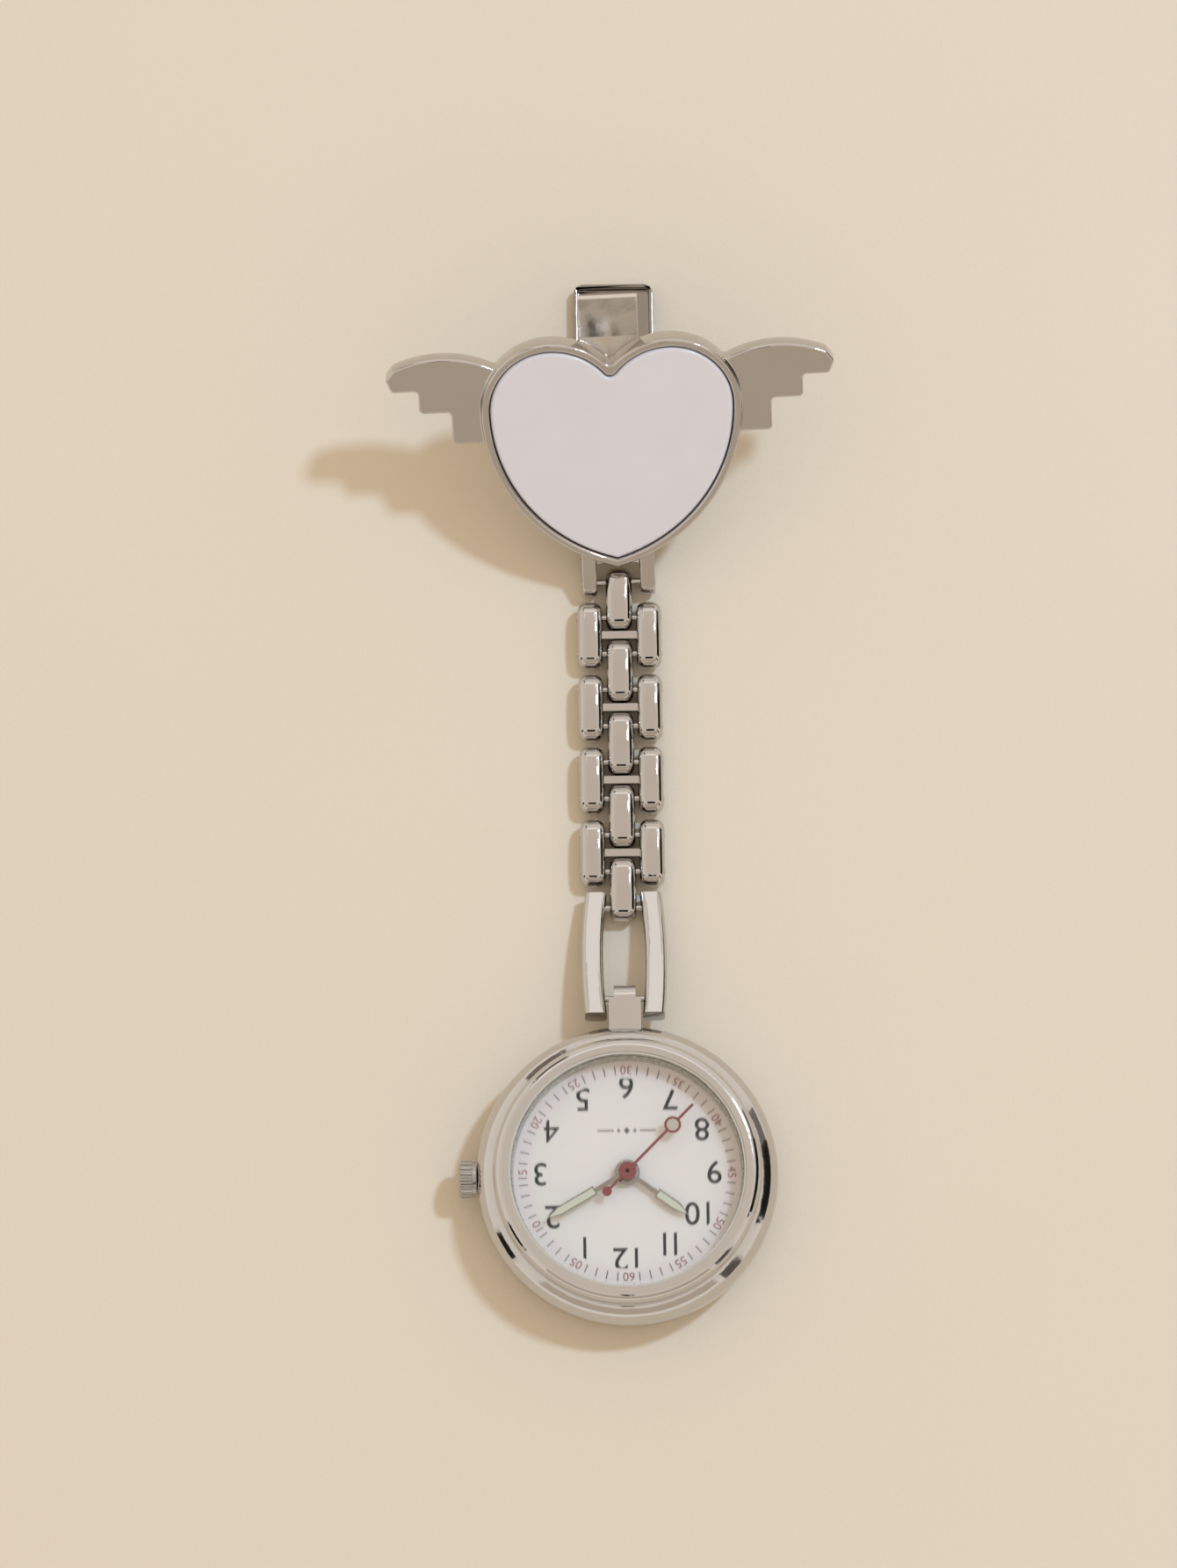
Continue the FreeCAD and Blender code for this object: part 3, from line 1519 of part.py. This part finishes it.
def check_model():
    """Every object is up to date, every cut removes something, every sub-part is a sound shape."""
    for item in doc.Objects:
        if "Invalid" in item.State or "Error" in item.State:
            raise RuntimeError(f"{item.Label} failed: {item.State}")
        if item.TypeId == "PartDesign::Pocket":
            if item.Shape.Volume >= item.BaseFeature.Shape.Volume - 1e-6:
                raise RuntimeError(f"{item.Label} cuts nothing")
    for item in sub_parts:
        if item.Shape.isNull() or not item.Shape.isValid() or not item.Shape.Solids:
            raise RuntimeError(f"{item.Label} has no sound shape")


make_brooch()
make_chain()
make_watch_case()
make_movement()
make_hands_and_crown()
doc.recompute()
check_model()
os.makedirs("parts", exist_ok=True)
for sub_part in sub_parts:
    sub_part.Shape.exportStep(f"parts/{sub_part.Label}.step")
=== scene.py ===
import math

import bmesh
import bpy
from mathutils import Matrix, Vector


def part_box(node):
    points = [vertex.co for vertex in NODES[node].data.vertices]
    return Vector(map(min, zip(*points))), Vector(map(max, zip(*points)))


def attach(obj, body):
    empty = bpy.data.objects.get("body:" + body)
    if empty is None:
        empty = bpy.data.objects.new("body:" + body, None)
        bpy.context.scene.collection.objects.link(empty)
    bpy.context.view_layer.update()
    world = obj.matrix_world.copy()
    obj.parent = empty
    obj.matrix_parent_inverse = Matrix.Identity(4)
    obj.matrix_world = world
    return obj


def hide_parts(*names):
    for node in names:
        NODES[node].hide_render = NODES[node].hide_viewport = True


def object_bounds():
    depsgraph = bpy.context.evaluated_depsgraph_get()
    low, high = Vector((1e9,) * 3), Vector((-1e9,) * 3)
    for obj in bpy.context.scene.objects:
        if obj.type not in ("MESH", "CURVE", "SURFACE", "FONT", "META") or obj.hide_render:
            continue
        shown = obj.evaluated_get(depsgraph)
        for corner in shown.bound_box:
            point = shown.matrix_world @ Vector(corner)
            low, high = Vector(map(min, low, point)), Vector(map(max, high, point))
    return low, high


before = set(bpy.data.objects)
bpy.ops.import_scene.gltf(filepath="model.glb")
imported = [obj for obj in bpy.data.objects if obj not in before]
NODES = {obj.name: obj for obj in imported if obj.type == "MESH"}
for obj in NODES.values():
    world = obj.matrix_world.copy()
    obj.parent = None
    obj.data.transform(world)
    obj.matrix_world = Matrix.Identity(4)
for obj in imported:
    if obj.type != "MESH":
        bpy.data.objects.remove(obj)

MM = 0.001
CAD_BOX = [list(corner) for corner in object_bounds()]
scene = bpy.context.scene

# ---------------------------------------------------------------- node materials


class NodeTree:
    """The nodes of a material or a world: each call adds a node and returns its output."""

    def __init__(self, tree):
        self.tree = tree

    def node(self, kind, output, values=(), **settings):
        node = self.tree.nodes.new(kind)
        for name, value in settings.items():
            setattr(node, name, value)
        for name, value in dict(values).items():
            if isinstance(value, bpy.types.NodeSocket):
                self.tree.links.new(value, node.inputs[name])
            else:
                node.inputs[name].default_value = value
        return node.outputs[output]

    def place(self):
        """Object coordinates in millimetres."""
        coordinates = self.node("ShaderNodeTexCoord", "Object")
        scaled = {0: coordinates, 3: 1 / MM}
        return self.node("ShaderNodeVectorMath", "Vector", scaled, operation="SCALE")

    def split(self, vector):
        """The X, Y and Z of a vector."""
        node = self.tree.nodes.new("ShaderNodeSeparateXYZ")
        self.tree.links.new(vector, node.inputs[0])
        return tuple(node.outputs)

    def axis_distance(self):
        """Distance from the watch's own axis in millimetres."""
        across, along, _ = self.split(self.place())
        flat = self.node("ShaderNodeCombineXYZ", "Vector", {"X": across, "Y": along})
        return self.node("ShaderNodeVectorMath", "Value", {0: flat}, operation="LENGTH")

    def noise(self, scale, detail=3.0, roughness=0.55, stretch=(1, 1, 1)):
        where = self.node("ShaderNodeMapping", "Vector", {"Vector": self.place(), "Scale": stretch})
        values = {"Vector": where, "Scale": scale, "Detail": detail, "Roughness": roughness}
        return self.node("ShaderNodeTexNoise", "Fac", values)

    def ramp(self, value, low, high, start=0.0, end=1.0):
        """Runs from low to high while the value runs from start to end."""
        values = {"Value": value, 1: start, 2: end, 3: low, 4: high}
        return self.node("ShaderNodeMapRange", "Result", values)

    def mix(self, factor, first, second):
        node = self.tree.nodes.new("ShaderNodeMix")
        node.data_type = "RGBA"
        for index, value in ((0, factor), (6, first), (7, second)):
            if isinstance(value, bpy.types.NodeSocket):
                self.tree.links.new(value, node.inputs[index])
            else:
                node.inputs[index].default_value = value
        return node.outputs[2]


class Shader(NodeTree):
    """A material's principled shader and the nodes that feed it."""

    def __init__(self, name):
        self.material = bpy.data.materials.new(name)
        self.material.use_nodes = True
        super().__init__(self.material.node_tree)
        self.principled = self.tree.nodes["Principled BSDF"]

    def set(self, **values):
        """Plain values on the shader's own sockets; underscores stand for spaces."""
        for name, value in values.items():
            self.principled.inputs[name.replace("_", " ")].default_value = value
        return self

    def link(self, socket, name):
        self.tree.links.new(socket, self.principled.inputs[name])
        return self

    def bump(self, height, distance):
        values = {"Height": height, "Distance": distance, "Strength": 1.0}
        return self.link(self.node("ShaderNodeBump", "Normal", values), "Normal")


# ---------------------------------------------------------------- camera

LENS = 173.6
SENSOR = 36
NEAREST = 0.01
CAMERA_ELEVATION = math.radians(77.7)
CAMERA_AZIMUTH = math.radians(-0.3)
CAMERA_ROLL = math.radians(-0.47)
CAMERA_DISTANCE = 0.7128
TARGET = Vector((-0.0031, 0.03807, 0.0))


def direction(azimuth, elevation):
    """The way towards an azimuth, which runs from -Y towards +X, and an elevation."""
    return Vector(
        (
            math.sin(azimuth) * math.cos(elevation),
            -math.cos(azimuth) * math.cos(elevation),
            math.sin(elevation),
        )
    )


def make_camera():
    camera = bpy.data.objects.new("camera", bpy.data.cameras.new("camera"))
    scene.collection.objects.link(camera)
    away = direction(CAMERA_AZIMUTH, CAMERA_ELEVATION)
    aim = away.to_track_quat("Z", "Y").to_matrix().to_4x4()
    roll = Matrix.Rotation(CAMERA_ROLL, 4, "Z")
    camera.matrix_world = Matrix.Translation(TARGET + away * CAMERA_DISTANCE) @ aim @ roll
    camera.data.lens = LENS
    camera.data.sensor_width = SENSOR
    camera.data.clip_start = NEAREST
    scene.camera = camera


# ---------------------------------------------------------------- floor and light

FLOOR_REACH = 2.0
FLOOR_GAP = 0.02 * MM


def make_floor():
    """A large sheet of warm paper just under the watch."""
    mesh = bpy.data.meshes.new("floor")
    signs = ((-1, -1), (1, -1), (1, 1), (-1, 1))
    corners = [(x * FLOOR_REACH, y * FLOOR_REACH, 0) for x, y in signs]
    mesh.from_pydata(corners, [], [(0, 1, 2, 3)])
    floor = bpy.data.objects.new("floor", mesh)
    scene.collection.objects.link(floor)
    floor.location.z = CAD_BOX[0][2] - FLOOR_GAP
    shader = Shader("paper")
    grain = shader.noise(2.2, 6.0, 0.65)
    cloud = shader.noise(0.02, 2.0)
    tone = shader.mix(cloud, (0.80, 0.735, 0.645, 1), (0.775, 0.71, 0.615, 1))
    speck = shader.ramp(grain, 0.0, 0.08)
    shader.link(shader.mix(speck, tone, (0.62, 0.52, 0.40, 1)), "Base Color")
    shader.set(Roughness=0.85, Specular_IOR_Level=0.2).bump(grain, 0.00003)
    mesh.materials.append(shader.material)


KEY_AZIMUTH = math.radians(124.5)
KEY_ELEVATION = math.radians(57)
KEY_DISTANCE = 1.3
KEY_SIZE = 0.13
KEY_POWER = 6.8
KEY_COLOR = (0.59, 0.79, 1.0)


def make_key_light():
    light = bpy.data.lights.new("key", "AREA")
    light.shape = "DISK"
    light.size = KEY_SIZE
    light.energy = KEY_POWER
    light.color = KEY_COLOR
    key = bpy.data.objects.new("key", light)
    scene.collection.objects.link(key)
    toward = direction(KEY_AZIMUTH, KEY_ELEVATION)
    key.location = TARGET + toward * KEY_DISTANCE
    key.rotation_euler = toward.to_track_quat("Z", "Y").to_euler()


# The fill on matt surfaces, and the colours of the studio as the chrome sees it, which change
# from the low wall to the ceiling over the rise, in degrees of elevation.
FILL = (0.76, 0.63, 0.475, 1)
LOW_WALL = (0.95, 0.88, 0.80, 1)
CEILING = (0.80, 0.71, 0.62, 1)
WALL_RISE = (5, 75)

# Cards around the table, as the chrome sees them: middle and half width of the azimuth from +X
# and of the elevation in degrees, and the card's colour. A later card covers an earlier one.
CARDS = (
    (5, 17, 18, 18, (0.015, 0.014, 0.014, 1)),
    (29, 7, 20, 14, (0.22, 0.20, 0.18, 1)),
    (-36, 5.5, 20, 20, (0.13, 0.11, 0.10, 1)),
    (-158, 7, 14, 13, (0.015, 0.014, 0.014, 1)),
    (120, 8, 28, 14, (0.22, 0.18, 0.15, 1)),
    (-90, 45, 28, 14, (0.60, 0.50, 0.40, 1)),
    (-90, 3, 56, 9, (0.03, 0.026, 0.025, 1)),
    (36, 9, 44, 8, (1.5, 1.5, 1.5, 1)),
    (90, 35, 53, 8, (1.18, 1.12, 1.08, 1)),
)


def make_world():
    """A warm even fill for the matt surfaces, and a studio with cards for the glossy ones."""
    scene.view_settings.view_transform = "Standard"
    world = bpy.data.worlds.new("studio")
    world.use_nodes = True
    scene.world = world
    studio = NodeTree(world.node_tree)
    across, along, up = studio.split(studio.node("ShaderNodeTexCoord", "Generated"))

    def calculate(operation, first, second=0.0, third=0.0):
        values = {0: first, 1: second, 2: third}
        return studio.node("ShaderNodeMath", 0, values, operation=operation)

    azimuth = calculate("DEGREES", calculate("ARCTAN2", along, across))
    elevation = calculate("DEGREES", calculate("ARCSINE", up))
    color = studio.mix(studio.ramp(elevation, 0.0, 1.0, *WALL_RISE), LOW_WALL, CEILING)
    for middle, half, level, half_level, card in CARDS:
        beside = calculate("COMPARE", azimuth, middle, half)
        level_with = calculate("COMPARE", elevation, level, half_level)
        color = studio.mix(calculate("MULTIPLY", beside, level_with), color, card)
    color = studio.mix(studio.node("ShaderNodeLightPath", "Is Diffuse Ray"), color, FILL)
    background = world.node_tree.nodes["Background"]
    world.node_tree.links.new(color, background.inputs["Color"])


# ---------------------------------------------------------------- finishes

BRASS = (0.78, 0.60, 0.28, 1)
STEEL = (0.56, 0.56, 0.55, 1)

# Heights in millimetres, behind the dial, between which a wheel's brass gives way to its top.
PLATING = (5.3, 5.4)

# Radii in millimetres between which the dial's middle gives way to its minute track.
TRACK_EDGE = (8.85, 8.95)

# Most of the noise lies between these values, so a ramp from one to the other spans its range.
NOISE_MIDDLE = (0.3, 0.7)


def shade(color, share):
    """The colour with that share of its brightness."""
    return tuple(share * channel for channel in color[:3]) + (1,)


def paint(material, *nodes):
    for node in nodes:
        mesh = NODES[node].data
        mesh.materials.clear()
        mesh.materials.append(material)


DENTS = 0.03 * MM


def polished(name, color, roughness=0.05):
    """Plated metal: uneven polish, slight tarnish and faint long-wave dents."""
    shader = Shader(name)
    shader.set(Metallic=1.0)
    smudge = shader.noise(0.35, 4.0)
    tarnish = shader.noise(0.12, 2.0)
    shader.link(shader.mix(tarnish, color, shade(color, 0.93)), "Base Color")
    shine = shader.ramp(smudge, roughness * 0.6, roughness * 1.7, *NOISE_MIDDLE)
    shader.link(shine, "Roughness")
    return shader.bump(shader.noise(0.5, 2.0), DENTS).material


def scratch(shader, color, marks, roughness, depth):
    """Darkens, dulls and dents a metal along the marks."""
    shader.set(Metallic=1.0)
    shader.link(shader.mix(marks, color, shade(color, 0.8)), "Base Color")
    shine = shader.ramp(marks, roughness * 0.8, roughness * 1.3, *NOISE_MIDDLE)
    return shader.link(shine, "Roughness").bump(marks, depth).material


def brushed(name, color, roughness=0.28):
    """Fine parallel brush marks along X."""
    shader = Shader(name)
    marks = shader.noise(1.2, 5.0, 0.6, (0.4, 12, 12))
    return scratch(shader, color, marks, roughness, 0.02 * MM)


def plated_top(name, top):
    """Brass below the dial, the top's colour where tubes and the staff stand above it."""
    shader = Shader(name)
    shader.set(Metallic=1.0)
    height = shader.split(shader.place())[2]
    above = shader.ramp(height, 0.0, 1.0, *PLATING)
    marks = shader.noise(1.2, 5.0, 0.6, (12, 12, 0.4))
    shader.link(shader.mix(above, BRASS, top), "Base Color")
    shader.link(shader.ramp(marks, 0.15, 0.35, *NOISE_MIDDLE), "Roughness")
    return shader.bump(marks, 0.01 * MM).material


def turned(name, color, roughness=0.3):
    """Circular brush marks about the watch's own axis."""
    shader = Shader(name)
    values = {"W": shader.axis_distance(), "Scale": 5.0, "Detail": 6.0, "Roughness": 0.7}
    marks = shader.node("ShaderNodeTexNoise", "Fac", values, noise_dimensions="1D")
    return scratch(shader, color, marks, roughness, 0.01 * MM)


FINE_SKIN = 0.004 * MM


def coated(name, color, roughness=0.4, grain=2.5, depth=FINE_SKIN, **more):
    """Paint, enamel, rubber or plastic: a slightly uneven tone and a fine skin."""
    shader = Shader(name)
    shader.set(**more)
    cloud = shader.noise(0.25, 3.0)
    skin = shader.noise(grain, 4.0)
    shader.link(shader.mix(cloud, color, shade(color, 0.95)), "Base Color")
    shine = shader.ramp(skin, roughness * 0.85, roughness * 1.2, *NOISE_MIDDLE)
    return shader.link(shine, "Roughness").bump(skin, depth).material


def dial_paint(name):
    """Matt white, with a slightly pinker minute track around it."""
    shader = Shader(name)
    track = shader.ramp(shader.axis_distance(), 0.0, 1.0, *TRACK_EDGE)
    cloud = shader.noise(0.25, 3.0)
    white = shader.mix(cloud, (0.83, 0.80, 0.79, 1), (0.81, 0.785, 0.775, 1))
    shader.link(shader.mix(track, white, (0.83, 0.775, 0.785, 1)), "Base Color")
    skin = shader.noise(2.5, 4.0)
    shader.link(shader.ramp(skin, 0.42, 0.6, *NOISE_MIDDLE), "Roughness")
    return shader.bump(skin, FINE_SKIN).material


def wound(name, color):
    """Fine wire wound about the coil's axis along X, with painted shade between the turns."""
    shader = Shader(name)
    shader.set(Metallic=1.0, Roughness=0.3)
    values = {"Vector": shader.place(), "Scale": 3.2, "Distortion": 0.15}
    wires = shader.node("ShaderNodeTexWave", "Fac", values, bands_direction="X")
    # Painted shade: the colour darkens to about a third in the grooves between the turns.
    shader.link(shader.mix(wires, shade(color, 0.35), color), "Base Color")
    return shader.bump(wires, 0.05 * MM).material


def clear(name):
    """Mineral glass: clear, with the faintest green in its body."""
    shader = Shader(name)
    shader.set(Base_Color=(0.97, 1.0, 0.985, 1), Transmission_Weight=1.0, IOR=1.45, Alpha=0.22)
    smear = shader.noise(0.2, 3.0)
    return shader.link(shader.ramp(smear, 0.0, 0.03), "Roughness").material


def finish_nodes():
    chained = ("centre_link", "outer_link", "link_pins", "fork_")
    chain = [name for name in NODES if name.startswith(chained)]
    chrome = polished("chrome", (0.60, 0.575, 0.545, 1))
    paint(chrome, "heart_casting", "clip_pin", "brooch_pin", *chain)
    # Painted reflection: the clip's front tab gets a lighter, warmer chrome than the rest, standing
    # in for the light beige it shows where it would mirror the dark tray.
    paint(polished("chrome_clip_painted_light", (0.76, 0.71, 0.65, 1), 0.2), "clip_base")
    # Painted reflection: the lever and its tray get a dark chrome, standing in for the dark tab and
    # shade that the curved tray mirrors.
    paint(polished("chrome_lever_painted_dark", (0.36, 0.33, 0.30, 1), 0.1), "clip_lever")
    paint(polished("chrome_case", (0.64, 0.62, 0.60, 1), 0.07), "case", "bezel")
    # Painted shade: the crown gets a darker copy of the case's chrome.
    paint(polished("chrome_crown_painted_dark", (0.48, 0.46, 0.44, 1), 0.09), "crown")
    paint(turned("satin_steel", (0.60, 0.59, 0.57, 1)), "case_back")
    varnish = {"Coat_Weight": 0.25, "Coat_Roughness": 0.15}
    # Painted light: the blue in the enamel's colour offsets the warm fill and studio, so that under
    # them it shows a neutral white.
    paint(coated("white_enamel", (0.765, 0.765, 0.86, 1), 0.33, **varnish), "heart_inlay")
    paint(dial_paint("dial_white"), "dial")
    rehaut = coated("rehaut_grey", (0.40, 0.405, 0.36, 1), 0.25, Metallic=0.4)
    paint(rehaut, "dial_ring")
    paint(clear("glass"), "crystal")
    paint(coated("black_rubber", (0.03, 0.03, 0.03, 1), 0.6), "back_gasket")
    paint(coated("white_plastic", (0.62, 0.60, 0.56, 1), 0.45), "crystal_gasket", "movement_ring")
    chalky = {"roughness": 0.7, "grain": 6.0, "depth": 0.01 * MM}
    paint(coated("lume_green", (0.62, 0.66, 0.56, 1), **chalky), "hour_lume", "minute_lume")
    paint(coated("lume_white", (0.55, 0.51, 0.44, 1), **chalky), "second_lume")
    paint(coated("red_lacquer", (0.25, 0.055, 0.06, 1), 0.3, Coat_Weight=0.3), "second_hand")
    # Painted shade: the hands' frames get a darker chrome than the rest, standing in for the shaded
    # outline that sets them off the dial.
    paint(polished("hand_chrome_painted_dark", (0.36, 0.34, 0.32, 1), 0.12), "hour_hand", "minute_hand")
    wheels = [name for name in NODES if name.endswith("_wheel")]
    paint(brushed("brass", BRASS), "main_plate", *wheels)
    paint(plated_top("brass_and_steel", (0.45, 0.44, 0.43, 1)), "centre_wheel", "hour_wheel")
    # The second wheel's top, above the dial, is near black.
    paint(plated_top("brass_and_dark_top", (0.05, 0.045, 0.045, 1)), "second_wheel")
    steel = [
        "train_bridge",
        "movement_screws",
        "stator",
        "battery",
        "battery_clamp",
        "quartz_can",
        "stem",
        "sliding_pinion",
        "case_tube",
    ]
    paint(brushed("steel", STEEL, 0.25), *steel)
    paint(wound("copper_wire", (0.66, 0.30, 0.14, 1)), "coil")
    paint(coated("board_green", (0.05, 0.22, 0.10, 1), 0.35, Coat_Weight=0.4), "circuit_board")
    paint(coated("magnet", (0.20, 0.20, 0.21, 1), 0.35, Metallic=0.8), "rotor")


# ---------------------------------------------------------------- softened edges and the spring


SOFT_EDGES = {"heart_casting": 0.22 * MM, "clip_base": 0.12 * MM, "clip_lever": 0.12 * MM}
SAME_POINT = 0.002 * MM
FLAT_ANGLE = math.radians(0.5)
SHARP_ANGLE = math.radians(40)


def soften(node, width):
    """Rounds the sharp edges of a casting or a stamping a little."""
    modifiers = NODES[node].modifiers
    seams = modifiers.new("joined_faces", "WELD")
    seams.merge_threshold = SAME_POINT
    flat = modifiers.new("flat_faces", "DECIMATE")
    flat.decimate_type = "DISSOLVE"
    flat.angle_limit = FLAT_ANGLE
    edges = modifiers.new("soft_edges", "BEVEL")
    edges.width = width
    edges.segments = 3
    edges.limit_method = "ANGLE"
    edges.angle_limit = SHARP_ANGLE
    edges.use_clamp_overlap = False
    edges.harden_normals = True


# The spring in millimetres: radius of its wire and of the coil's middle, rise in each turn, and
# length of the leg on the base and of the leg on the lever. The turn about the hinge pin brings
# the legs to the base and the lever.
SPRING_WIRE = 0.21
SPRING_MEAN = 0.85
SPRING_PITCH = 0.44
SPRING_TURNS = 6
SPRING_LEGS = (1.3, 4.2)
SPRING_TURN = math.radians(98.5)
COIL_STEPS = 16
BROOCH_YAW = math.radians(2.0)


def make_spring():
    """The clip's torsion spring: close coils about the hinge pin and two straight legs."""
    half = SPRING_PITCH * SPRING_TURNS / 2
    base_leg, lever_leg = SPRING_LEGS
    points = [(SPRING_MEAN, -base_leg, -half), (SPRING_MEAN, -base_leg / 2, -half)]
    for i in range(COIL_STEPS * SPRING_TURNS + 1):
        turn = 2 * math.pi * i / COIL_STEPS
        height = -half + SPRING_PITCH * i / COIL_STEPS
        points.append((SPRING_MEAN * math.cos(turn), SPRING_MEAN * math.sin(turn), height))
    points += [(SPRING_MEAN, lever_leg / 2, half), (SPRING_MEAN, lever_leg, half)]
    curve = bpy.data.curves.new("clip_spring_wire", "CURVE")
    curve.dimensions = "3D"
    curve.bevel_depth = SPRING_WIRE * MM
    curve.bevel_resolution = 3
    curve.use_fill_caps = True
    line = curve.splines.new("NURBS")
    line.points.add(len(points) - 1)
    low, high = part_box("clip_pin")
    middle = (Vector(low) + Vector(high)) / 2
    lean = Matrix.Rotation(BROOCH_YAW, 4, "Z") @ Matrix.Rotation(SPRING_TURN, 4, "X")
    place = Matrix.Translation(middle) @ lean @ Matrix.Rotation(math.pi / 2, 4, "Y")
    for point, where in zip(line.points, points, strict=True):
        point.co = (*(place @ (Vector(where) * MM)), 1)
    line.order_u = 3
    line.use_endpoint_u = True
    curve.materials.append(brushed("spring_steel", STEEL, 0.2))
    piece = bpy.data.objects.new("clip_spring_wire", curve)
    scene.collection.objects.link(piece)
    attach(piece, "brooch")
    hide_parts("clip_spring")


# ---------------------------------------------------------------- print on the dial

# The dial's middle lies a step lower than its minute track, which is its top.
DIAL_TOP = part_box("dial")[1][2]
DIAL_MIDDLE = DIAL_TOP - 0.03 * MM
INK = 0.006 * MM
SHAPE_THICKNESS = 0.1

# The numbers, in millimetres; the stroke and swell of the hours are shares of their size.
HOUR_RADIUS = 8.05
HOUR_HEIGHT = 2.15
HOUR_STROKE = 0.13
HOUR_SWELL = 0.005
HOUR_PITCH = 1.45
ELEVEN_PITCH = 1.0
WIDE_HOUR_INSET = 0.35
TRACK_RADIUS = 9.67
TICK_LENGTH = 0.82
TICK_WIDTH = 0.1
LABEL_HEIGHT = 0.8

# The ornament, in millimetres: its place towards the six, and place and size of each lozenge.
# The width of its lines is a share of their length.
ORNAMENT_ALONG = 4.0
LOZENGES = ((-0.75, 0.26), (0, 0.42), (0.75, 0.26))
LINE_ACROSS = 1.95
LINE_LENGTH = 1.5
LINE_WIDTH = 0.09


def glyph_mesh(text, swell=0.0):
    """The digits as a flat mesh of height 1, centred on the origin and thickened by the swell."""
    curve = bpy.data.curves.new("glyph", "FONT")
    curve.body = text
    curve.offset = swell
    curve.extrude = SHAPE_THICKNESS / 2
    holder = bpy.data.objects.new("glyph", curve)
    scene.collection.objects.link(holder)
    bpy.context.view_layer.update()
    mesh = bpy.data.meshes.new_from_object(holder)
    bpy.data.objects.remove(holder)
    lows = [min(v.co[i] for v in mesh.vertices) for i in (0, 1)]
    highs = [max(v.co[i] for v in mesh.vertices) for i in (0, 1)]
    middle = Vector(((lows[0] + highs[0]) / 2, (lows[1] + highs[1]) / 2, 0))
    mesh.transform(Matrix.Scale(1 / (highs[1] - lows[1]), 4) @ Matrix.Translation(-middle))
    return mesh


def bar_mesh(width, length):
    """A flat bar of that width and length about the origin, along Y."""
    mesh = bpy.data.meshes.new("bar")
    shape = bmesh.new()
    size = Matrix.Diagonal((width, length, SHAPE_THICKNESS, 1))
    bmesh.ops.create_cube(shape, size=1.0, matrix=size)
    shape.to_mesh(mesh)
    shape.free()
    return mesh


def put(shape, mesh, across, along, turn, scale):
    """Adds a mesh to the print, that many millimetres in size and as thick as the ink."""
    copy = mesh.copy()
    flat = Matrix.Diagonal((scale * MM, scale * MM, INK / SHAPE_THICKNESS, 1))
    place = Matrix.Translation((across * MM, along * MM, 0)) @ Matrix.Rotation(turn, 4, "Z")
    copy.transform(place @ flat)
    shape.from_mesh(copy)
    bpy.data.meshes.remove(copy)


def finish_print(name, shape, height, material):
    """One printed piece on the dial, which rides with the watch."""
    mesh = bpy.data.meshes.new(name)
    bmesh.ops.translate(shape, verts=shape.verts, vec=(0, 0, height + INK / 2))
    shape.to_mesh(mesh)
    shape.free()
    mesh.materials.append(material)
    piece = bpy.data.objects.new(name, mesh)
    scene.collection.objects.link(piece)
    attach(piece, "watch")


def dial_point(radius, turn):
    """A point of the dial, whose twelve is towards -Y; turn runs clockwise from twelve."""
    return -radius * math.sin(turn), -radius * math.cos(turn)


def digit_mesh(digit):
    """A numeral's digit: a plain stroke for 1, and a 4 that isn't thickened, which would fill it."""
    if digit == "1":
        return bar_mesh(HOUR_STROKE, 1.0)
    return glyph_mesh(digit, 0.0 if digit == "4" else HOUR_SWELL)


def make_hours(ink):
    shape = bmesh.new()
    for hour in range(1, 13):
        digits = str(hour)
        inset = WIDE_HOUR_INSET if hour in (10, 11) else 0
        across, along = dial_point(HOUR_RADIUS - inset, math.radians(30 * hour))
        pitch = ELEVEN_PITCH if hour == 11 else HOUR_PITCH
        for i, digit in enumerate(digits):
            shift = (i - (len(digits) - 1) / 2) * pitch
            put(shape, digit_mesh(digit), across - shift, along, math.pi, HOUR_HEIGHT)
    finish_print("hour_numerals", shape, DIAL_MIDDLE, ink)


def make_minutes(ink, red):
    """Ticks, and a number at every fifth minute, which from 20 to 40 stands the other way up."""
    ticks = bmesh.new()
    labels = bmesh.new()
    tick = bar_mesh(TICK_WIDTH, TICK_LENGTH)
    for minute in range(1, 61):
        turn = math.radians(6 * minute)
        across, along = dial_point(TRACK_RADIUS, turn)
        if minute % 5:
            put(ticks, tick, across, along, -turn, 1.0)
            continue
        outward = math.pi - turn
        if 20 <= minute <= 40:
            outward += math.pi
        put(labels, glyph_mesh(f"{minute:02d}"), across, along, outward, LABEL_HEIGHT)
    finish_print("minute_ticks", ticks, DIAL_TOP, ink)
    finish_print("minute_labels", labels, DIAL_TOP, red)


def make_ornament(ink):
    """A row of lozenges between two fine lines."""
    shape = bmesh.new()
    lozenge = bar_mesh(1.0, 1.0)
    line = bar_mesh(1.0, LINE_WIDTH)
    for across, size in LOZENGES:
        put(shape, lozenge, across, ORNAMENT_ALONG, math.pi / 4, size)
    for across in (-LINE_ACROSS, LINE_ACROSS):
        put(shape, line, across, ORNAMENT_ALONG, 0, LINE_LENGTH)
    finish_print("dial_ornament", shape, DIAL_MIDDLE, ink)


def make_dial_print():
    ink = coated("black_ink", (0.02, 0.02, 0.022, 1), 0.5)
    grey = coated("grey_ink", (0.12, 0.10, 0.10, 1), 0.5)
    red = coated("red_ink", (0.30, 0.09, 0.09, 1), 0.5)
    make_hours(ink)
    make_minutes(grey, red)
    make_ornament(grey)


make_camera()
make_floor()
make_key_light()
make_world()
finish_nodes()
for casting, width in SOFT_EDGES.items():
    soften(casting, width)
make_spring()
make_dial_print()
